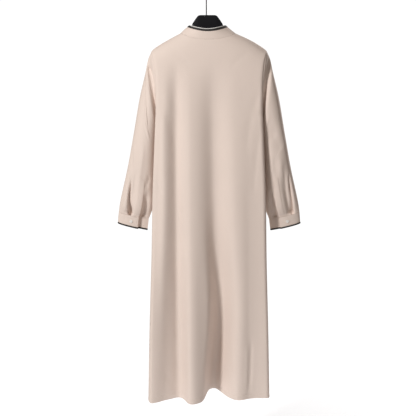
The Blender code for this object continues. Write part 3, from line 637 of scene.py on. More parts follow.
def spindles(centres, directions, normals, length, radius, lift):
    """Points and faces of many small threads: each a spindle that arches out of the cloth.

    At share t along it, its radius and its arch are times the root of 1 - (2t - 1)^4."""
    shares = np.array([0.06, 0.25, 0.5, 0.75, 0.94])
    turns = np.arange(THREAD_SIDES) * 2 * np.pi / THREAD_SIDES
    swell = np.sqrt(1 - (2 * shares - 1) ** 4)
    sideways = unit(np.cross(directions, normals))
    spine = (centres[:, None] + directions[:, None] * ((shares - 0.5) * length)[:, None]
             + normals[:, None] * (swell * lift - radius * THREAD_SINK)[:, None])
    rings = (spine[:, :, None]
             + sideways[:, None, None] * (np.cos(turns) * swell[:, None] * radius)[..., None]
             + normals[:, None, None] * (np.sin(turns) * swell[:, None] * radius)[..., None])
    ends = (centres[:, None] + directions[:, None] * (np.array((-0.5, 0.5)) * length)[:, None]
            - normals[:, None] * radius)
    count = len(centres)
    points = np.concatenate([rings.reshape(count, -1, 3), ends], axis=1)
    step = np.arange(count)[:, None, None] * points.shape[1]
    faces = (grid_faces(len(shares), THREAD_SIDES, wrap=True), pole_fans(len(shares), THREAD_SIDES))
    return points.reshape(-1, 3), *[(f + step).reshape(-1, f.shape[1]) for f in faces]


def thread_object(name, groups):
    """All the threads of one piece joined in one object."""
    points, quads, fans = zip(*groups)
    starts = np.cumsum([0] + [len(group) for group in points])
    faces = [np.concatenate([group + start for group, start in zip(kind, starts)])
             for kind in (quads, fans)]
    return mesh_object(name, np.concatenate(points), faces, "robe_thread")


def stitch_row(path, normals, pitch):
    """Threads of one sewn row: evenly spaced along a path, each filling most of its pitch."""
    run = arc_lengths(path, 0)
    count = max(int(run[-1] / pitch), 1)
    middle = (np.arange(count) + 0.5) * run[-1] / count

    def at(place, values):
        return np.stack([np.interp(place, run, values[:, k]) for k in range(3)], axis=-1)

    ahead = at(middle + pitch / 4, path) - at(middle - pitch / 4, path)
    return spindles(at(middle, path), unit(ahead), unit(at(middle, normals)), pitch * STITCH_FILL,
                    *STITCH_THREAD)


def sew(surface, normals, rows, columns, pitch):
    """Stitch row along a line over a surface; its rows or its columns may be one number."""
    rows, columns = np.broadcast_arrays(np.asarray(rows, float), np.asarray(columns, float))
    return stitch_row(grid_sample(surface, rows, columns), grid_sample(normals, rows, columns),
                      pitch)


def sew_edges(surface, normals, width, pitch):
    """Stitch rows along a band of a given width, an inset in from each of its long edges."""
    rows, columns = surface.shape[:2]
    return [sew(surface, normals, inset / width * (rows - 1), np.arange(2, columns - 2), pitch)
            for inset in (EDGE_INSET, width - EDGE_INSET)]


def sew_strip(surface, normals, columns, rows, bars, count, pitch):
    """Stitch rows down a strip at two columns, and bars across it between them at two rows."""
    return ([sew(surface, normals, rows, column, pitch) for column in columns]
            + [sew(surface, normals, bar, np.linspace(*columns, count), pitch) for bar in bars])


def buttonhole(centre, along, facing, length):
    """Worked buttonhole: short threads side by side down a slit's lips, and bars at its ends."""
    across = unit(np.cross(facing, along))
    place = (np.arange(int(length / HOLE_PITCH)) + 0.5) * HOLE_PITCH - length / 2
    bar = length / 2 + 0.0003 + np.arange(-2, 3) * 0.0002
    centres = np.concatenate(
        [centre + along * place[:, None] + across * lip * HOLE_LIP for lip in (-1, 1)]
        + [centre + along * end * bar[:, None] for end in (-1, 1)])
    return spindles(centres, np.broadcast_to(across, centres.shape),
                    np.broadcast_to(facing, centres.shape), *HOLE_THREAD)


def rgba(colour, gain=1.0):
    return (colour[0] * gain, colour[1] * gain, colour[2] * gain, 1.0)


class Field:
    """A value that varies over a surface. Arithmetic on it adds the Math nodes that work it out."""

    def __init__(self, tree, socket):
        self.tree = tree
        self.socket = socket

    def math(self, operation, *values):
        node = self.tree.nodes.new("ShaderNodeMath")
        node.operation = operation
        for slot, value in zip(node.inputs, values):
            feed(self.tree, slot, value)
        return Field(self.tree, node.outputs[0])

    def __add__(self, other):
        return self.math("ADD", self, other)

    def __sub__(self, other):
        return self.math("SUBTRACT", self, other)

    def __rsub__(self, other):
        return self.math("SUBTRACT", other, self)

    def __mul__(self, other):
        return self.math("MULTIPLY", self, other)

    def __truediv__(self, other):
        return self.math("DIVIDE", self, other)

    def __pow__(self, other):
        return self.math("POWER", self, other)

    __radd__ = __add__
    __rmul__ = __mul__

    def waves(self, length):
        """Sine waves of a length, from 0 to 1."""
        return self.math("SINE", self * (2 * np.pi / length)) * 0.5 + 0.5

    def clipped(self):
        return self.math("MINIMUM", self.math("MAXIMUM", self, 0.0), 1.0)


def feed(tree, socket, value):
    """Links a field to a socket, or sets the socket's own value."""
    if isinstance(value, Field):
        tree.links.new(value.socket, socket)
    else:
        socket.default_value = value


class Nodes:
    """A node tree to which nodes are added by type, settings and socket values or links."""

    def __init__(self, tree):
        self.tree = tree

    def node(self, kind, settings=None, values=None, output=0):
        node = self.tree.nodes.new(kind)
        for key, value in (settings or {}).items():
            setattr(node, key, value)
        for key, value in (values or {}).items():
            feed(self.tree, node.inputs[key], value)
        return Field(self.tree, node.outputs[output]) if node.outputs else None

    def mix(self, factor, first, last):
        """Colour between two colours by a factor."""
        return self.node("ShaderNodeMix", {"data_type": "RGBA"},
                         {MIX_FACTOR: factor, MIX_FIRST: first, MIX_LAST: last}, MIX_RESULT)

    def shades(self, factor, colour, first, last):
        """Colour between two gains of one colour by a factor."""
        return self.mix(factor, rgba(colour, first), rgba(colour, last))


class Finish(Nodes):
    """One material, with the places and noises that its looks are worked out from."""

    def __init__(self, name):
        self.material = bpy.data.materials.new(name)
        self.material.use_nodes = True
        super().__init__(self.material.node_tree)
        self.surface = self.tree.nodes["Principled BSDF"]

    def set(self, **values):
        """Sets or links the shader's own sockets; a name's underscores stand for spaces."""
        for key, value in values.items():
            feed(self.tree, self.surface.inputs[key.replace("_", " ")], value)

    def chart(self):
        """The piece's own map: metres across or along it, and metres down or round it."""
        return self.node("ShaderNodeUVMap", {"uv_map": CLOTH_MAP})

    def place(self):
        """Metres in the object's own axes."""
        return self.node("ShaderNodeTexCoord", output="Object")

    def axis(self, vector, number):
        return self.node("ShaderNodeSeparateXYZ", values={0: vector}, output=number)

    def noise(self, vector, scale, detail=2.0, stretch=(1.0, 1.0, 1.0)):
        moved = self.node("ShaderNodeMapping", values={"Vector": vector, "Scale": stretch})
        return self.node("ShaderNodeTexNoise",
                         values={"Vector": moved, "Scale": scale, "Detail": detail})

    def bump(self, height, distance):
        """Feeds a bump of a height field to the normal, and hands over the finished material."""
        self.set(Normal=self.node("ShaderNodeBump", values={"Height": height, "Distance": distance,
                                                             "Strength": 1.0}))
        return self.material


def cloth_finish(settings):
    """Fine twill: diagonal ribs, long slubs down the grain and a faint cloud in the dye.

    Ribs are sine waves of the weave's pitch over across plus 0.62 down, yarns are finer ones over
    across alone, and slubs are noise stretched along the grain."""
    finish = Finish("robe_cloth")
    chart = finish.chart()
    across, down = finish.axis(chart, 0), finish.axis(chart, 1)
    ribs = (across + down * 0.62).waves(settings.weave_pitch)
    yarns = across.waves(settings.weave_pitch * 0.71)
    slubs = finish.noise(chart, 900.0, 3.0, (1.0, 0.22, 1.0))
    cloud = finish.noise(finish.place(), 7.0, 3.0)
    tone = (slubs * 0.45 + cloud * 0.55).clipped()
    finish.set(Base_Color=finish.shades(tone, settings.cloth_colour, 0.95, 1.05),
               Roughness=(0.70 + slubs * 0.16 + ribs * 0.05).clipped(),
               Sheen_Weight=settings.sheen,
               Sheen_Roughness=0.45,
               Specular_IOR_Level=0.30)
    return finish.bump(ribs * 0.45 + yarns * 0.20 + slubs * 0.55, settings.weave_depth)


def tape_finish(settings):
    """Black woven tape: ribs across it, as sine waves of the way along, and dusty slubs."""
    finish = Finish("black_binding")
    ribs = finish.axis(finish.chart(), 0).waves(0.0009)
    dust = finish.noise(finish.place(), 300.0, 4.0)
    finish.set(Base_Color=finish.shades(dust, settings.binding_colour, 0.8, 1.6),
               Roughness=(0.58 + dust * 0.25).clipped(),
               Sheen_Weight=0.12,
               Sheen_Roughness=0.5)
    return finish.bump(ribs * 0.7 + dust * 0.5, 0.00012)


def piping_finish(settings):
    """White corded piping: strands wind round it, as sine waves of along plus 0.35 around."""
    finish = Finish("white_piping")
    chart = finish.chart()
    strands = (finish.axis(chart, 0) + finish.axis(chart, 1) * 0.35).waves(0.0012)
    fuzz = finish.noise(finish.place(), 500.0, 3.0)
    tone = strands * 0.6 + fuzz * 0.4
    finish.set(Base_Color=finish.shades(tone, settings.piping_colour, 0.82, 1.0),
               Roughness=(0.55 + fuzz * 0.25).clipped(),
               Sheen_Weight=0.2)
    return finish.bump(strands * 0.8 + fuzz * 0.3, 0.00015)


def thread_finish(settings):
    """Sewing thread of the cloth's colour, a little darker or paler by a fine grain."""
    finish = Finish("robe_thread")
    grain = finish.noise(finish.place(), 2600.0, 2.0)
    finish.set(Base_Color=finish.shades(grain, settings.cloth_colour, 0.88, 1.10),
               Roughness=(0.5 + grain * 0.2).clipped(),
               Sheen_Weight=0.1)
    return finish.bump(grain, 0.00005)


def pearl_finish(settings):
    """Pearly button: cloudy bands between a warm and a cool white under a clear coat."""
    finish = Finish("pearl_button")
    place = finish.place()
    bands = finish.noise(place, 240.0, 4.0, (1.0, 1.0, 0.35))
    grain = finish.noise(place, 1400.0, 2.0)
    warm = settings.pearl_colour
    cool = [part * gain for part, gain in zip(warm, (0.93, 0.97, 1.02))]
    finish.set(Base_Color=finish.mix(bands, rgba(cool), rgba(warm)),
               Roughness=(0.20 + grain * 0.14).clipped(),
               Coat_Weight=0.4,
               Coat_Roughness=0.12)
    return finish.bump(bands * 0.3 + grain * 0.1, 0.00008)


def plastic_finish(settings):
    """Moulded black plastic: a fine grain, and broad smudges that change the gloss."""
    finish = Finish("hanger_plastic")
    place = finish.place()
    grain = finish.noise(place, 1500.0, 3.0)
    smudge = finish.noise(place, 26.0, 4.0)
    finish.set(Base_Color=finish.shades(smudge, settings.plastic_colour, 0.85, 1.25),
               Roughness=(0.38 + smudge * 0.14 + grain * 0.08).clipped(),
               Specular_IOR_Level=0.12)
    return finish.bump(grain, 0.00006)


def wire_finish(settings):
    """Black coated wire: fine scratches along its length change the gloss."""
    finish = Finish("hook_wire")
    place = finish.place()
    scratches = finish.noise(place, 900.0, 3.0, (1.0, 1.0, 0.12))
    cloud = finish.noise(place, 60.0, 3.0)
    finish.set(Base_Color=finish.shades(cloud, settings.wire_colour, 0.8, 1.2),
               Roughness=(0.26 + scratches * 0.16 + cloud * 0.06).clipped(),
               Specular_IOR_Level=0.45)
    return finish.bump(scratches, 0.00004)


def floor_finish(settings):
    """Pale matt floor with a faint cloud, thinning away to nothing towards its edge.

    The share left falls in a straight line from the clear radius outwards, and is eased by three
    share squared less two share cubed."""
    finish = Finish("studio_floor")
    place = finish.place()
    cloud = finish.noise(place, 1.3, 4.0)
    x, y = finish.axis(place, 0), finish.axis(place, 1)
    radius = (x * x + y * y) ** 0.5
    left = (1.0 - (radius - settings.floor_clear) / settings.floor_fade).clipped()
    finish.set(Base_Color=finish.shades(cloud, settings.floor_colour, 0.97, 1.0),
               Roughness=0.85,
               Alpha=left * left * (3.0 - 2.0 * left),
               Emission_Color=rgba(settings.floor_colour),
               Emission_Strength=settings.floor_glow)
    return finish.material


FINISHES = {
    "robe_cloth": cloth_finish,
    "black_binding": tape_finish,
    "white_piping": piping_finish,
    "robe_thread": thread_finish,
    "pearl_button": pearl_finish,
    "hanger_plastic": plastic_finish,
    "hook_wire": wire_finish,
}


def material(name):
    """One of the robe's materials, made when it is first asked for."""
    return bpy.data.materials.get(name) or FINISHES[name](bpy.context.scene.robe_finish)


def free_name(name):
    """Renames the CAD's plain material of this name, so the shown one can take the name."""
    plain = bpy.data.materials.get(name)
    if plain is not None:
        plain.name = name + "_plain"


def panel_grid():
    """Rows and columns of a panel: close at shoulder and hem, with a column at the neck point."""
    half = np.concatenate([np.linspace(0.0, NECK_X / TIP_X, NECK_STEPS + 1),
                           np.linspace(NECK_X / TIP_X, 1.0, SHOULDER_STEPS + 1)[1:]])
    last = (TIP_Z - UNDERARM_Z) / (TIP_Z - HEM_Z)
    hem_start = (TIP_Z - HEM_Z - 1.4 * HEM_DEPTH) / (TIP_Z - HEM_Z)
    rows = np.concatenate([last * (np.arange(ARMHOLE_STEPS + 1) / ARMHOLE_STEPS) ** ARMHOLE_SPACING,
                           np.linspace(last, hem_start, SKIRT_STEPS + 1)[1:],
                           np.linspace(hem_start, 1.0, HEM_STEPS + 1)[1:]])
    return np.meshgrid(np.concatenate([-half[:0:-1], half]), rows)


def edge_relief(from_edge, along, rise):
    """A seam beside an edge: a soft ridge where the allowance lies, and puckers.

    Puckers are the sine of the way along over their length, times an exponential of the way in."""
    ridge = rise * np.exp(-((from_edge - SEAM_REACH / 2) / (SEAM_REACH / 2)) ** 2)
    phase = along * (2 * np.pi / PUCKER_LENGTH)
    pucker = PUCKER_RISE * np.sin(phase + 1.7 * np.sin(phase * 0.31))
    relief = ridge + pucker * np.exp(-from_edge / SEAM_REACH)
    return relief * (1 - np.exp(-(from_edge / 0.0025) ** 2))


def body_surface(side):
    """Shown surface of the back or front panel: its form plus creases, seams and the hem's turn.

    The hem's row of stitches sinks as a bell of the height over the hem, and below it the turned
    cloth stands out and ropes in slanted sine waves. Inside, each point lies a wall in along the
    normal, or straight below along the shoulder seams."""
    across, down = panel_grid()
    outer = panel(side, across, down)
    outward = np.stack(np.broadcast_arrays(across * 0.5, float(side), 0.3), axis=-1)
    normals = grid_normals(outer, outward)
    x, height = outer[..., 0], outer[..., 2]
    run = arc_lengths(outer, 1)
    edge = np.minimum(run, run[:, -1:] - run)
    drop = arc_lengths(outer, 0)
    to_hem = height - HEM_Z
    inside = smooth(edge / CREASE_INSET) * smooth(drop / CREASE_INSET)
    relief = creases(BACK_CREASES if side > 0 else FRONT_CREASES, x, height) * inside
    relief += edge_relief(edge, height, SEAM_RISE)
    relief += edge_relief(drop, x, SEAM_RISE * 0.6)
    stitched = np.exp(-((to_hem - HEM_DEPTH) / HEM_STITCH_WIDTH) ** 2)
    roping = ROPING_RISE * np.sin((x + 0.5 * height) * 2 * np.pi / ROPING_LENGTH)
    turned = smooth(1 - to_hem / HEM_DEPTH) * smooth(to_hem / 0.004)
    relief += ((HEM_RISE + roping) * turned - HEM_SINK * stitched) * smooth(edge / 0.004)
    outer = outer + normals * relief[..., None]
    wall = WALL + (HEM_WALL - WALL) * smooth((HEM_DEPTH + 0.001 - to_hem) / 0.0015)
    normals = grid_normals(outer, outward)
    inner = outer - normals * wall[..., None]
    at_shoulder = (down < 1e-9) & (np.abs(across) * TIP_X > NECK_X - 1e-6)
    level = outer - np.array((0.0, 0.0, 1.0)) * wall[..., None]
    inner = np.where(at_shoulder[..., None], level, inner)
    return outer, inner, normals


def rows_at_height(surface, normals, height):
    """Path across a grid where each column crosses a height, with its normals."""
    heights = surface[..., 2]
    columns = np.arange(surface.shape[1])
    below = np.argmax(heights < height, axis=0)
    upper = heights[below - 1, columns]
    lower = heights[below, columns]
    row = below - 1 + (upper - height) / (upper - lower)
    return grid_sample(surface, row, columns), grid_sample(normals, row, columns)


def armhole(side, turn):
    """Points of an armhole at turns from the shoulder tip over the back, and the way out past them.

    The underarm is at half a turn. The points lie on the side edge of the back, then of the front,
    and in the middle of both where they meet; there the two ways out are mixed too."""
    share = turn / np.pi
    last = (TIP_Z - UNDERARM_Z) / (TIP_Z - HEM_Z)
    down = last * (1.0 - np.abs(1.0 - share)) ** ARMHOLE_SPACING
    rims, ways = [], []
    for facing in (1, -1):
        rim = panel(facing, np.full_like(turn, float(side)), down)
        rims.append(rim)
        ways.append(unit(rim - panel(facing, np.full_like(turn, side * ARMHOLE_INSIDE), down)))
    on_back = (share <= 1)[..., None]
    from_meeting = np.abs(share - np.round(share))[..., None]
    points = np.where(on_back, *rims)
    points = np.where(from_meeting < 1e-9, (rims[0] + rims[1]) / 2, points)
    mixing = np.minimum(from_meeting / ARMHOLE_MEETING, 1.0) / 2
    beyond = unit(np.where(on_back, *ways) * (0.5 + mixing)
                  + np.where(on_back, *ways[::-1]) * (0.5 - mixing))
    return points, beyond


def sleeve_oval(side, down, turn):
    """Oval ring between the sleeve's outer and inner lines, and its normals in the ring's plane."""
    out_x, out_z, in_x, in_z, depth, middle_y = [through(down, SLEEVE[:, 0], SLEEVE[:, k])
                                                 for k in range(1, 7)]
    half_x = (out_x - in_x) / 2
    half_z = (out_z - in_z) / 2
    cos = np.cos(turn)
    sin = np.sin(turn)
    points = np.stack([side * ((out_x + in_x) / 2 + half_x * cos), middle_y + depth * sin,
                       (out_z + in_z) / 2 + half_z * cos], axis=-1)
    half = np.hypot(half_x, half_z)
    normals = unit(np.stack([side * half_x / half * cos * depth, half * sin,
                             half_z / half * cos * depth], axis=-1))
    return points, normals


def sleeve_relief(side, down, turn):
    """How far the sleeve's main folds stand out of its oval or sink into it.

    Each is a bell of the degrees from a slanting line, times a power of half a sine wave along it;
    one that runs to the cuff starts gently and stops just above it. Below the armhole on the back
    the sleeve sinks behind the body as a bell of the share of the way down."""
    degrees = np.degrees(turn)
    total = np.zeros_like(down)
    for which, top, bottom, start, end, rise, width in SLEEVE_FOLDS:
        if which not in (0, side):
            continue
        share = (down - start) / (end - start)
        place = top + (bottom - top) * share
        if end < OPEN_END:
            window = np.sin(np.pi * np.clip(share, 0, 1)) ** FOLD_WINDOW
        else:
            window = smooth(share / FOLD_START) * smooth((1.0 - down) / FOLD_STOP)
        total += rise * window * np.exp(-((degrees - place) / width) ** 2)
    recess = np.exp(-((down - RECESS_PLACE) / RECESS_WIDTH) ** 2) * smooth(down / 0.06)
    return total - RECESS_DEPTH * recess * smooth(np.sin(turn) * RECESS_FACING)


def gape(side, turn):
    """Depth of the opening beside the placket: a steep step at its edge, eased out behind it."""
    start, end = GAPE_TURNS
    left = 1 - smooth((turn - start) / (end - start))
    return -GAPE_DEPTH[side] * smooth((turn - start) / GAPE_EDGE) * left


def sleeve_surface(side, turn, down):
    """Shown surface of a sleeve: its oval settled onto the armhole, with folds and creases.

    The way from the oval's first ring to the armhole is added in full there, and less with the
    square of what is left of the settling part. The normals are the oval's own near both ends."""
    oval, normals = sleeve_oval(side, down, turn)
    head, _ = sleeve_oval(side, np.zeros_like(turn[0]), turn[0])
    rim, beyond = armhole(side, turn[0])
    settle = (np.clip(1 - down / SLEEVE_SETTLE, 0, 1) ** 2)[..., None]
    outer = oval + (rim + beyond * SEAM - head) * settle
    outer += normals * sleeve_relief(side, down, turn)[..., None]
    opened = smooth((down - GAPE_SHARES[0]) / (GAPE_SHARES[1] - GAPE_SHARES[0]))
    outer += normals * (gape(side, turn) * opened)[..., None]
    outer[..., 2] += SEAM * down

    # The creases' places, from degrees and shares to metres round and down the sleeve
    chosen = SLEEVE_CREASES[np.isin(SLEEVE_CREASES[:, 0], (side, 0))][:, 1:]
    chosen[:, [0, 2]] = np.radians(chosen[:, [0, 2]]) * SLEEVE_RADIUS
    chosen[:, [1, 3]] *= SLEEVE_LENGTH
    relief = creases(chosen, turn * SLEEVE_RADIUS, down * SLEEVE_LENGTH)
    relief *= smooth(down / 0.03) * smooth((1 - down) / 0.008)
    relief += edge_relief(down * SLEEVE_LENGTH, turn * SLEEVE_RADIUS, SEAM_RISE * 0.5)
    relief += edge_relief((1 - down) * SLEEVE_LENGTH, turn * SLEEVE_RADIUS, SEAM_RISE * 0.3)
    walls = grid_normals(outer, normals, wrap=True)
    outer = outer + walls * relief[..., None]
    ends = np.maximum(1 - smooth(down / 0.06), smooth((down - 0.96) / 0.04))[..., None]
    walls = grid_normals(outer, normals, wrap=True)
    return outer, unit(normals * ends + walls * (1 - ends))


def cuff_ring(side, turn, share, outwards):
    """Points of the cuff at a turn from its outer edge and a share of its height from the top.

    Each ring is an oval between an outer and an inner line, moved outwards along its normal."""
    top = SLEEVE[-1, 1:7]
    out_x = top[0] + (CUFF_LOW_OUT[0] - top[0]) * share
    out_z = top[1] + (CUFF_LOW_OUT[1] - top[1]) * share
    in_x = top[2] + (CUFF_LOW_IN[0] - top[2]) * share
    in_z = top[3] + (CUFF_LOW_IN[1] - top[3]) * share
    depth = top[4] + (CUFF_LOW_DEPTH - top[4]) * share
    half_x = (out_x - in_x) / 2
    half_z = (out_z - in_z) / 2
    half = np.hypot(half_x, half_z)
    normal_along = np.cos(turn) * depth
    normal_y = np.sin(turn) * half
    size = np.hypot(normal_along, normal_y)
    along = np.cos(turn) * half + outwards * normal_along / size
    return np.stack([side * ((out_x + in_x) / 2 + along * half_x / half),
                     top[5] + np.sin(turn) * depth + outwards * normal_y / size,
                     (out_z + in_z) / 2 + along * half_z / half], axis=-1)


def cuff_path():
    """Turn and outward lift along the cuff, whose outer end laps over its inner end on the back.

    The lift is one thickness and a gap, and eases away over six stations past the lap."""
    stations = np.arange(0, CUFF_STATIONS + CUFF_OVERLAP + CUFF_STEP / 2, CUFF_STEP)
    turn = CUFF_EDGE_TURN - stations * 2 * np.pi / CUFF_STATIONS
    lift = (STIFF_CLOTH + LAP_GAP) * (1 - smooth((stations - CUFF_OVERLAP) / 6))
    return turn, lift


def collar_lines():
    """Lower and upper edge of the collar matched point to point, its normal and its lap's lift.

    The lower edge is the neckline of both panels. The upper one is narrower: depth times 1 less a
    power of the share across, and a height that rises to the sides as another power of it."""
    count = int(COLLAR_STATIONS / COLLAR_STEP)
    quarter = count // 4
    place = np.arange(count)
    far = np.where(place < 3 * quarter, 2 * quarter - place, place - count)
    across = np.where(place < quarter, place, far) / quarter
    on_back = (place >= quarter) & (place <= 3 * quarter)
    top = np.zeros(count)
    back = panel(1, across * NECK_X / TIP_X, top)
    front = panel(-1, across * NECK_X / TIP_X, top)
    low = np.where(on_back[:, None], back, front)
    at_point = (place == quarter) | (place == 3 * quarter)
    low = np.where(at_point[:, None], (back + front) / 2, low)
    sides = np.where(on_back, 1.0, -1.0)
    share = np.clip(low[:, 0] / NECK_X, -1.0, 1.0)
    dip = np.abs(share) ** COLLAR_DIP_ROUND
    middle_z = np.where(on_back, COLLAR_TOP_BACK_Z, COLLAR_TOP_FRONT_Z)
    high = np.stack([share * COLLAR_TOP_X,
                     sides * COLLAR_TOP_DEPTH * (1 - np.abs(share) ** COLLAR_TOP_ROUND),
                     middle_z + (COLLAR_TOP_SIDE_Z - middle_z) * dip], axis=-1)
    low = low + np.array((0.0, 0.0, SEAM))
    middle = (low + high) / 2
    outward = unit(np.stack([middle[:, 0], middle[:, 1] * 2, np.zeros(count)], axis=-1))
    reach = int(1 / COLLAR_STEP)
    along = np.roll(middle, -reach, axis=0) - np.roll(middle, reach, axis=0)
    normal = unit(np.cross(along, high - low))
    normal *= np.sign(np.sum(normal * outward, axis=-1, keepdims=True))
    lap = int(COLLAR_OVERLAP / COLLAR_STEP)
    path = np.arange(-lap, count + lap + 1)
    lift = (STIFF_CLOTH + LAP_GAP) * smooth((path * COLLAR_STEP - COLLAR_STATIONS + 6) / 4)
    return low[path % count], high[path % count], normal[path % count], lift


def collar_point(lines, share, outwards):
    """Points of the collar at shares of its height, moved out along its wall; level at its base."""
    low, high, normal, lift = lines
    share = share[:, None, None]
    level = unit(normal * (1.0, 1.0, 0.0))
    wall = unit(level + (normal - level) * smooth(share / COLLAR_BASE_SHARE))
    return low + (high - low) * share + wall * (lift + outwards[:, None])[..., None], wall


def front_grid(x, height):
    """Points of the front's surface at places near its middle, and their normals."""
    down = (height - top_edge(-1, x)) / (HEM_Z - top_edge(-1, x))
    points = panel(-1, x / TIP_X, down)
    outward = np.zeros_like(points)
    outward[..., 1] = -1.0
    return points, grid_normals(points, outward)


def button(name, centre, facing, turn):
    """Turned button with four holes: a profile spun round, its dish lowered by a bell at each hole.

    The bell is the exponential of minus the fourth power of the distance over the hole's reach.
    The threads of two bars that hold the button come back."""
    facing = unit(facing)
    sideways = unit(np.cross(facing, (0.0, 0.0, 1.0)))
    upright = np.cross(sideways, facing)
    sideways, upright = (sideways * np.cos(turn) + upright * np.sin(turn),
                         upright * np.cos(turn) - sideways * np.sin(turn))
    turns = np.arange(BUTTON_TURNS) * 2 * np.pi / BUTTON_TURNS
    radius = BUTTON_PROFILE[:, :1] * BUTTON_RADIUS
    across = radius * np.cos(turns)
    upward = radius * np.sin(turns)
    spread = BUTTON_HOLE_PLACE * BUTTON_RADIUS
    reach = BUTTON_HOLE_REACH * BUTTON_RADIUS
    wells = sum(np.exp(-((np.hypot(across - a * spread, upward - b * spread) / reach) ** 4))
                for a in (-1, 1) for b in (-1, 1))
    height = (BUTTON_PROFILE[:, 1:] - BUTTON_HOLE_DEPTH * wells) * BUTTON_THICKNESS
    rings = (centre + across[..., None] * sideways + upward[..., None] * upright
             + height[..., None] * facing)
    poles = np.stack([centre, centre + facing * BUTTON_PROFILE[-1, 1] * BUTTON_THICKNESS])
    rows = len(BUTTON_PROFILE)
    faces = [grid_faces(rows, BUTTON_TURNS, wrap=True), pole_fans(rows, BUTTON_TURNS)]
    thing = mesh_object(name, np.concatenate([rings.reshape(-1, 3), poles]), faces, "pearl_button")
    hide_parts(name)
    top = centre + facing * BUTTON_BAR_HEIGHT * BUTTON_THICKNESS
    bars = np.stack([top + upright * spread, top - upright * spread])
    return spindles(bars, np.stack([sideways] * 2), np.stack([facing] * 2), 2.5 * spread,
                    *BUTTON_THREAD)


def make_body():
    """Back and front panels, with the stitching of their hems."""
    pitch = bpy.context.scene.robe_trims.stitch_pitch * HEM_PITCH_GAIN
    sewn = []
    for side, name in ((1, "back"), (-1, "front")):
        outer, inner, normals = body_surface(side)
        piece = cloth_wall("robe_" + name, outer, inner)
        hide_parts(name)
        path, facing = rows_at_height(outer, normals, HEM_Z + HEM_DEPTH)
        sewn.append(stitch_row(path[3:-3], facing[3:-3], pitch))
    thread_object("hem_stitching", sewn)


def make_front_strip():
    """Strip down the middle of the front: the front's own surface moved out, sewn near its edges.

    Its edges roll in by an exponential of the way in, and it sinks in a bell along each seam."""
    pitch = bpy.context.scene.robe_trims.stitch_pitch
    x, height = np.meshgrid(np.linspace(-STRIP_HALF_WIDTH, STRIP_HALF_WIDTH, STRIP_COLUMNS),
                            np.linspace(FRONT_NECK_Z - STRIP_TOP_DROP, STRIP_BOTTOM_Z, STRIP_ROWS))
    points, normals = front_grid(x, height)
    edge = STRIP_HALF_WIDTH - np.abs(x)
    roll = 0.0004 * (1 - np.exp(-edge / 0.0010))
    sunk = 0.00025 * np.exp(-((edge - 0.0025) / 0.0009) ** 2)
    rise = LAP_GAP + CLOTH - SOFT_EDGE + roll - sunk
    outer = points + normals * rise[..., None]
    piece = cloth_wall("robe_front_strip", outer, points + normals * LAP_GAP)
    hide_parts("front_strip")
    sewn = sew_strip(outer, normals, (2.1, 21.9), np.arange(STRIP_ROWS), (145, 132), 30, pitch)
    middle = STRIP_COLUMNS // 2
    for height in FRONT_BUTTON_Z:
        row = int(np.argmin(np.abs(outer[:, middle, 2] - height)))
        along = unit(outer[row + 1, middle] - outer[row - 1, middle])
        sewn.append(buttonhole(outer[row, middle], along, normals[row, middle], STRIP_HOLE))
    thread_object("front_strip_stitching", sewn)


def make_sleeves():
    """Both sleeves, and the strip over each sleeve's opening above the cuff."""
    pitch = bpy.context.scene.robe_trims.stitch_pitch
    share = np.linspace(0.0, 1.0, SLEEVE_ROWS)
    share = share - 0.06 * np.sin(2 * np.pi * share) / (2 * np.pi)
    turns = np.linspace(0.0, 2 * np.pi, SLEEVE_TURNS + 1)
    turns = turns + SLEEVE_CROWDING / 2 * np.sin(2 * turns)
    turn, down = np.meshgrid(turns, share)
    columns = np.linspace(*np.interp(PLACKET_TURNS, turns, np.arange(SLEEVE_TURNS + 1)), 17)
    columns, rows = np.meshgrid(columns, np.linspace(*np.searchsorted(share, PLACKET_SHARES), 60))
    for side, label in ((1, "left"), (-1, "right")):
        outer, walls = sleeve_surface(side, turn, down)
        piece = cloth_wall("robe_sleeve_" + label, outer, outer - walls * WALL, wrap=True)
        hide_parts("sleeve_" + label)

        base = grid_sample(outer, rows, columns)
        normals = unit(grid_sample(walls, rows, columns))
        top = base + normals * (LAP_GAP + CLOTH)
        strip = cloth_wall("robe_sleeve_placket_" + label, top, base + normals * LAP_GAP)
        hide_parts("sleeve_placket_" + label)
        sewn = sew_strip(top, normals, (2, 14), np.arange(2, 59), (2, 10), 20, pitch)
        thread_object("sleeve_placket_stitching_" + label, sewn)


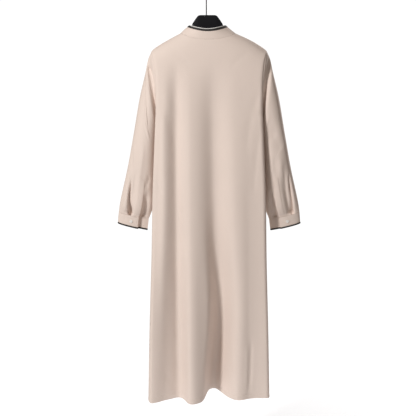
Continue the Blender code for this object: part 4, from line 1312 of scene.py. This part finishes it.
def make_cuffs():
    """Both cuffs with their stitching and buttonhole, and the black tape round each lower edge.

    The cloth rolls in at both edges by an exponential, sinks in bells along its seams, and swells
    in five low waves round the wrist. Under the lap it follows the sleeve's gape."""
    pitch = bpy.context.scene.robe_trims.stitch_pitch
    turn, lap = cuff_path()
    height = np.hypot(CUFF_LOW_OUT[0] - SLEEVE[-1, 1], CUFF_LOW_OUT[1] - SLEEVE[-1, 2])
    last = 1 - (CUFF_TRIM + SEAM) / height
    share = np.linspace(0.0, last, CUFF_ROWS)
    edge = np.minimum(share, last - share) * height
    soft = (0.00045 * (1 - np.exp(-edge / 0.0012)) - SOFT_EDGE
            - 0.0003 * np.exp(-((edge - EDGE_INSET) / 0.0010) ** 2))
    turns, shares = np.meshgrid(turn, share)
    first = 1 - CUFF_TRIM / height
    tape_shares = first + (1 - first) * CUFF_TAPE[:, :1]
    for side, label in ((1, "left"), (-1, "right")):
        lift = lap + np.where(turn < CUFF_EDGE_TURN - np.pi, gape(side, turn + 2 * np.pi), 0.0)
        swell = 0.0004 * np.sin(turns * 5 + side) * np.sin(np.pi * shares)
        outer = cuff_ring(side, turns, shares, lift + soft[:, None] + swell)
        inner = cuff_ring(side, turns, shares, lift - STIFF_CLOTH)
        piece = cloth_wall("robe_cuff_" + label, outer, inner)
        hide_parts("cuff_" + label)

        rings = cuff_ring(side, turn[None], tape_shares, lift[None] + CUFF_TAPE[:, 1:])
        tape = profile_band("robe_cuff_binding_" + label, rings, "black_binding")
        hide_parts("cuff_binding_" + label)

        facing = unit(cuff_ring(side, turns, shares, lift + 0.001)
                      - cuff_ring(side, turns, shares, lift))
        sewn = sew_edges(outer, facing, height * last, pitch)
        sewn.append(sew(outer, facing, np.linspace(2, CUFF_ROWS - 3, 20), 2, pitch))
        seat, ahead = [cuff_ring(side, CUFF_BUTTON_TURN + step, CUFF_BUTTON_SHARE,
                                 STIFF_CLOTH + LAP_GAP) for step in (0.0, 0.01)]
        sewn.append(buttonhole(seat, unit(ahead - seat), BACKWARDS, CUFF_HOLE))
        seams = thread_object("cuff_stitching_" + label, sewn)


def make_collar():
    """Stand collar with its stitching, the black tape along its top and the white piping in that.

    The cloth rolls in at its top by an exponential and sinks in a bell along the seam there."""
    pitch = bpy.context.scene.robe_trims.stitch_pitch
    lines = collar_lines()
    heights = np.linalg.norm(lines[1] - lines[0], axis=-1)
    gap = SEAM / heights.min()
    last = COLLAR_BINDING_SHARE - gap
    width = heights.mean() * last
    share = np.linspace(0.0, last, COLLAR_ROWS)
    from_top = (last - share) * heights.mean()
    soft = (0.0001 - 0.0004 * np.exp(-from_top / 0.0012)
            - 0.0003 * np.exp(-((from_top - EDGE_INSET) / 0.001) ** 2))
    outer, wall = collar_point(lines, share, soft)
    inner, _ = collar_point(lines, share, np.full_like(share, -STIFF_CLOTH))
    piece = cloth_wall("robe_collar", outer, inner)
    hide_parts("collar")

    tape_height = COLLAR_PIPING_SHARE - gap - COLLAR_BINDING_SHARE
    rings, _ = collar_point(lines, COLLAR_BINDING_SHARE + tape_height * COLLAR_TAPE[:, 0],
                            COLLAR_TAPE[:, 1])
    tape = profile_band("robe_collar_binding", rings, "black_binding")
    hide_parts("collar_binding")

    turns = np.arange(PIPING_SIDES) * 2 * np.pi / PIPING_SIDES
    cord_share = ((1 + COLLAR_PIPING_SHARE) + (1 - COLLAR_PIPING_SHARE) * np.sin(turns)) / 2
    rings, _ = collar_point(lines, cord_share, PIPING_RADIUS * np.cos(turns) - STIFF_CLOTH / 2)
    cord = profile_band("robe_collar_piping", rings, "white_piping")
    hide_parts("collar_piping")

    seams = thread_object("collar_stitching", sew_edges(outer, wall, width, pitch))


def make_buttons():
    """Buttons on the cuffs, the collar and the front strip, each sewn on with two bars."""
    threads = []
    for side, label in ((1, "left"), (-1, "right")):
        seat = cuff_ring(side, CUFF_BUTTON_TURN, CUFF_BUTTON_SHARE, STIFF_CLOTH + 2 * LAP_GAP)
        threads.append(button("cuff_button_" + label, seat, BACKWARDS, 0.3 * side))
    low, high, normal, lift = collar_lines()
    last = -1 - int(COLLAR_OVERLAP / COLLAR_STEP)
    middle = low[last] + (high[last] - low[last]) * COLLAR_BUTTON_SHARE * COLLAR_BINDING_SHARE
    seat = middle + normal[last] * (lift[last] + LAP_GAP)
    threads.append(button("collar_button", seat, normal[last], 0.1))
    for number, height in enumerate(FRONT_BUTTON_Z, start=1):
        steps = np.array((-0.001, 0.0, 0.001))
        points, _ = front_grid(*np.meshgrid(steps, height - steps))
        seat = points[1, 1] - BACKWARDS * (CLOTH + 2 * LAP_GAP)
        threads.append(button("front_button_%d" % number, seat, -BACKWARDS, 0.2 * number))
    thread_object("button_threads", threads)


def hanger_half():
    """Half of the hanger from its middle: places across, upper edge, and what is left of it.

    The upper edge follows the hump's outline and then the shoulder line; over the hump it is the
    mean of five places near each, weighted 1, 2, 3, 2 and 1. What is left of the section goes
    down at the arm's end as a quarter circle."""
    outline_x = np.concatenate([HUMP_OUTLINE[:, 0], np.linspace(NECK_X, ARM_END_X, 9)])
    arm_top = shoulder_line(outline_x[len(HUMP_OUTLINE):]) - CLOTH - ARM_SEAT
    outline_z = np.concatenate([HUMP_OUTLINE[:, 1], arm_top])
    flat = np.linspace(0.0, 0.0270, 10)
    hump = np.linspace(0.0275, 0.0900, 80)
    half = np.concatenate([flat, hump, np.linspace(0.0920, ARM_END_X, 70)])
    top = np.interp(half, outline_x, outline_z)
    weights = np.array((1.0, 2.0, 3.0, 2.0, 1.0)) / 9.0
    near = hump[:, None] + np.arange(-2, 3) * 0.0011
    top[len(flat):len(flat) + len(hump)] = np.interp(near, outline_x, outline_z) @ weights
    end = np.clip((ARM_END_X - half) / ARM_END_LENGTH, 0.0, 1.0)
    return half, top, ARM_END_SHARE + (1 - ARM_END_SHARE) * np.sqrt(1 - (1 - end) ** 2)


def hook_path():
    """Middle line of the hook: its bow, a fillet that bends the other way, and the stem."""
    centre_z = WIRE_RADIUS - HOOK_RADIUS
    span = HOOK_RADIUS + HOOK_FILLET
    low_turn = np.arccos((STEM_X + HOOK_FILLET) / span)
    turns = np.linspace(HOOK_TIP_TURN, -low_turn, 90)
    bow = np.stack([HOOK_RADIUS * np.cos(turns), centre_z + HOOK_RADIUS * np.sin(turns)], axis=-1)
    bends = np.linspace(np.pi - low_turn, np.pi, 24)[1:]
    fillet = np.stack([span * np.cos(low_turn) + HOOK_FILLET * np.cos(bends),
                       centre_z - span * np.sin(low_turn) + HOOK_FILLET * np.sin(bends)], axis=-1)
    stem = np.linspace(fillet[-1, 1], HUMP_TOP_Z + SEAM, 13)[1:]
    line = np.concatenate([bow, fillet, np.stack([np.full_like(stem, STEM_X), stem], axis=-1)])
    return np.stack([line[:, 0], np.zeros(len(line)), line[:, 1]], axis=-1)


def make_hanger():
    """Hump and arms as a rounded bar carried from tip to tip, and the wire hook in its top.

    The bar's section is a box with round corners. The wire's radius starts as a quarter circle."""
    half, top, left = hanger_half()
    low = np.minimum(top - ARM_HEIGHT, HUMP_LOW_Z)
    centre = (top + low) / 2
    reach = (top - low) / 2 * left
    thick = ARM_HALF_THICKNESS * left
    corner = np.minimum(ARM_CORNER * left, thick * 0.8)
    half = np.concatenate([-half[:0:-1], half])
    centre, reach, thick, corner = [np.concatenate([v[:0:-1], v])
                                    for v in (centre, reach, thick, corner)]
    turns = ((np.arange(ARM_SIDES) + 0.5) * 2 * np.pi / ARM_SIDES)[:, None]
    y = np.sign(np.cos(turns)) * (thick - corner) + corner * np.cos(turns)
    z = centre + np.sign(np.sin(turns)) * (reach - corner) + corner * np.sin(turns)
    rings = np.stack([np.broadcast_to(half, y.shape), y, z], axis=-1)
    bar = profile_band("robe_hanger_body", rings, "hanger_plastic")
    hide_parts("hanger_body")

    path = hook_path()
    up = np.cross(unit(np.gradient(path, axis=0)), BACKWARDS)
    ease = np.clip(arc_lengths(path, 0) / WIRE_RADIUS, 0.0, 1.0)
    radius = WIRE_RADIUS * np.maximum(np.sqrt(1 - (1 - ease) ** 2), 0.2)
    turns = (np.arange(WIRE_SIDES) * 2 * np.pi / WIRE_SIDES)[:, None, None]
    rings = path + radius[:, None] * (np.cos(turns) * BACKWARDS + np.sin(turns) * up)
    hook = profile_band("robe_hanger_hook", rings, "hook_wire")
    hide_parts("hanger_hook")


def area_light(name, place, size, power, colour):
    """Soft light of a width and a height at a place, turned to the robe's middle."""
    lamp = bpy.data.lights.new(name, "AREA")
    lamp.shape = "RECTANGLE"
    lamp.size, lamp.size_y = size
    lamp.energy = power
    lamp.color = colour
    thing = bpy.data.objects.new(name, lamp)
    away = unit(np.array(place) - np.array(LIGHT_TARGET))
    sideways = unit(np.cross((0.0, 0.0, 1.0), away))
    turned = np.stack([sideways, np.cross(away, sideways), away], axis=1)
    thing.location = place
    thing.rotation_euler = Matrix(turned.tolist()).to_euler()
    bpy.context.scene.collection.objects.link(thing)


def make_studio():
    """Pale floor, white surround, soft lights and the camera."""
    scene = bpy.context.scene
    studio = scene.robe_studio
    turns = np.arange(FLOOR_TURNS) * 2 * np.pi / FLOOR_TURNS
    radii = np.linspace(0.0, studio.floor_clear + studio.floor_fade, FLOOR_RINGS + 1)[1:, None]
    rings = np.stack([radii * np.cos(turns), radii * np.sin(turns),
                      np.full((FLOOR_RINGS, FLOOR_TURNS), studio.floor_height)], axis=-1)
    points = np.concatenate([rings.reshape(-1, 3), [(0.0, 0.0, studio.floor_height)]])
    quads = grid_faces(FLOOR_RINGS, FLOOR_TURNS, wrap=True)[:, [0, 3, 2, 1]]
    near = np.arange(FLOOR_TURNS)
    fans = np.stack([near, (near + 1) % FLOOR_TURNS, np.full_like(near, len(points) - 1)], axis=1)
    mesh = bpy.data.meshes.new("studio_floor")
    mesh.from_pydata(points.tolist(), [], quads.tolist() + fans.tolist())
    mesh.materials.append(floor_finish(studio))
    floor = bpy.data.objects.new("studio_floor", mesh)
    scene.collection.objects.link(floor)

    world = bpy.data.worlds.new("studio_surround")
    world.use_nodes = True
    world.node_tree.nodes.clear()
    nodes = Nodes(world.node_tree)
    seen = nodes.node("ShaderNodeLightPath", output="Is Camera Ray")
    surround = nodes.node("ShaderNodeBackground", values={
        "Color": nodes.mix(seen, rgba(studio.surround_tint), rgba(studio.surround_colour)),
        "Strength": seen * (studio.surround_seen - studio.surround_light) + studio.surround_light,
    })
    nodes.node("ShaderNodeOutputWorld", values={"Surface": surround})
    scene.world = world

    area_light("key_light", (2.3, 2.75, 1.15), (0.7, 2.0), studio.key_power, WARM_LIGHT)
    area_light("fill_light", (-2.6, 3.4, -0.6), (2.0, 2.4), studio.fill_power, COOL_LIGHT)
    area_light("front_key_light", (-2.3, -2.75, 0.55), (0.7, 2.0), studio.front_power, WARM_LIGHT)

    lens = bpy.data.cameras.new("photo_camera")
    lens.lens = studio.lens
    lens.sensor_width = 36.0
    lens.clip_end = 60.0
    camera = bpy.data.objects.new("photo_camera", lens)
    camera.location = studio.camera_place
    camera.rotation_euler = (np.pi / 2 - studio.camera_tilt, 0.0, np.pi)
    scene.collection.objects.link(camera)
    scene.camera = camera
    scene.view_settings.view_transform = "Standard"
    scene.view_settings.look = "None"


def colour(name, default, description):
    return FloatVectorProperty(name=name, description=description, default=default, min=0.0,
                               max=1.0, subtype="COLOR", size=3)


def number(name, default, description, **more):
    return FloatProperty(name=name, description=description, default=default, **more)


class RobeFinish(PropertyGroup):
    """Colours and weave of the robe, its trims and the hanger."""

    cloth_colour: colour("Cloth", (0.722, 0.616, 0.556), "Colour of the robe's cloth")
    binding_colour: colour("Binding", (0.012, 0.010, 0.009), "Colour of the tape on the edges")
    piping_colour: colour("Piping", (0.80, 0.79, 0.78), "Colour of the collar's piping")
    pearl_colour: colour("Buttons", (0.88, 0.85, 0.81), "Colour of the pearly buttons")
    plastic_colour: colour("Hanger", (0.007, 0.007, 0.009), "Colour of the hanger's plastic")
    wire_colour: colour("Hook", (0.012, 0.012, 0.014), "Colour of the hook's wire")
    weave_pitch: number("Weave pitch", 0.0009, "Distance between the cloth's twill ribs",
                        min=0.0003, max=0.005, unit="LENGTH", precision=5)
    weave_depth: number("Weave depth", 0.00016, "Depth of the ribs and slubs",
                        min=0.0, max=0.001, unit="LENGTH", precision=6)
    sheen: number("Sheen", 0.10, "Soft sheen of the cloth at grazing angles",
                  min=0.0, max=1.0, subtype="FACTOR")


class RobeTrims(PropertyGroup):
    """Sizes of the sewing."""

    stitch_pitch: number("Stitch pitch", 0.0032, "Length of one stitch with its gap",
                         min=0.0015, max=0.01, unit="LENGTH", precision=4)


class RobeStudio(PropertyGroup):
    """Floor, lights and camera."""

    floor_height: number("Floor height", -2.05, "Height of the floor under the hook", unit="LENGTH")
    floor_clear: number("Floor radius", 0.55, "Radius within which the floor is whole",
                        min=0.1, unit="LENGTH")
    floor_fade: number("Floor fade", 1.8, "Width over which the floor thins away",
                       min=0.1, unit="LENGTH")
    floor_colour: colour("Floor", (0.86, 0.875, 0.90), "Colour of the floor")
    floor_glow: number("Floor glow", 0.52, "Light that the floor adds of itself", min=0.0)
    surround_colour: colour("Surround", (1.0, 1.0, 1.0), "Colour of the surround")
    surround_seen: number("Surround seen", 1.05, "Brightness of the surround itself", min=0.0)
    surround_tint: colour("Surround's light", (1.0, 0.86, 0.74), "Colour of the light it throws")
    surround_light: number("Surround light", 0.20, "Light that the surround throws", min=0.0)
    key_power: number("Key light", 146.0, "Power of the main light on the back",
                      min=0.0, unit="POWER")
    fill_power: number("Fill light", 6.0, "Power of the weaker light on the back",
                       min=0.0, unit="POWER")
    front_power: number("Front light", 92.0, "Power of the main light on the front",
                        min=0.0, unit="POWER")
    camera_place: FloatVectorProperty(name="Camera", description="Place of the camera",
                                      default=(-0.002, 2.7, -0.3357), subtype="XYZ", unit="LENGTH")
    camera_tilt: number("Camera tilt", 0.18311, "Angle that the camera looks down", unit="ROTATION")
    lens: number("Lens", 60.93, "Focal length on a 36 mm sensor", min=10.0, unit="CAMERA")


def run(maker):
    """Calls a maker and reports that it is done, as an operator does."""
    maker()
    return {"FINISHED"}


class ROBE_OT_body(Operator):
    """Make the back and front panels with the hem's stitching"""

    bl_idname = "robe.body"
    bl_label = "Back and front"

    def execute(self, context):
        return run(make_body)


class ROBE_OT_front_strip(Operator):
    """Make the strip down the middle of the front"""

    bl_idname = "robe.front_strip"
    bl_label = "Front strip"

    def execute(self, context):
        return run(make_front_strip)


class ROBE_OT_sleeves(Operator):
    """Make both sleeves and the strips over their openings"""

    bl_idname = "robe.sleeves"
    bl_label = "Sleeves"

    def execute(self, context):
        return run(make_sleeves)


class ROBE_OT_cuffs(Operator):
    """Make both cuffs with their black edges"""

    bl_idname = "robe.cuffs"
    bl_label = "Cuffs"

    def execute(self, context):
        return run(make_cuffs)


class ROBE_OT_collar(Operator):
    """Make the stand collar with its black and white edge"""

    bl_idname = "robe.collar"
    bl_label = "Collar"

    def execute(self, context):
        return run(make_collar)


class ROBE_OT_buttons(Operator):
    """Make all the buttons and the thread that holds them"""

    bl_idname = "robe.buttons"
    bl_label = "Buttons"

    def execute(self, context):
        return run(make_buttons)


class ROBE_OT_hanger(Operator):
    """Make the hanger and its hook"""

    bl_idname = "robe.hanger"
    bl_label = "Hanger"

    def execute(self, context):
        return run(make_hanger)


class ROBE_OT_studio(Operator):
    """Make the floor, the surround, the lights and the camera"""

    bl_idname = "robe.studio"
    bl_label = "Studio"

    def execute(self, context):
        return run(make_studio)


class ROBE_PT_maker(Panel):
    """The robe's settings and makers"""

    bl_idname = "ROBE_PT_maker"
    bl_label = "Thobe robe"
    bl_space_type = "VIEW_3D"
    bl_region_type = "UI"
    bl_category = "Robe"

    def draw(self, context):
        column = self.layout.column()
        scene = context.scene
        for settings in (scene.robe_finish, scene.robe_trims, scene.robe_studio):
            for name in settings.__annotations__:
                column.prop(settings, name)
        for maker in MAKERS:
            column.operator(maker.bl_idname)


MAKERS = (ROBE_OT_studio, ROBE_OT_body, ROBE_OT_front_strip, ROBE_OT_sleeves, ROBE_OT_cuffs,
          ROBE_OT_collar, ROBE_OT_buttons, ROBE_OT_hanger)
CLASSES = (RobeFinish, RobeTrims, RobeStudio, *MAKERS, ROBE_PT_maker)


def register():
    for kind in CLASSES:
        bpy.utils.register_class(kind)
    bpy.types.Scene.robe_finish = PointerProperty(type=RobeFinish)
    bpy.types.Scene.robe_trims = PointerProperty(type=RobeTrims)
    bpy.types.Scene.robe_studio = PointerProperty(type=RobeStudio)


def unregister():
    del bpy.types.Scene.robe_studio
    del bpy.types.Scene.robe_trims
    del bpy.types.Scene.robe_finish
    for kind in reversed(CLASSES):
        bpy.utils.unregister_class(kind)


def main():
    register()
    for name in FINISHES:
        free_name(name)
    bpy.ops.robe.studio()
    bpy.ops.robe.body()
    bpy.ops.robe.front_strip()
    bpy.ops.robe.sleeves()
    bpy.ops.robe.cuffs()
    bpy.ops.robe.collar()
    bpy.ops.robe.buttons()
    bpy.ops.robe.hanger()


if __name__ == "__main__":
    main()
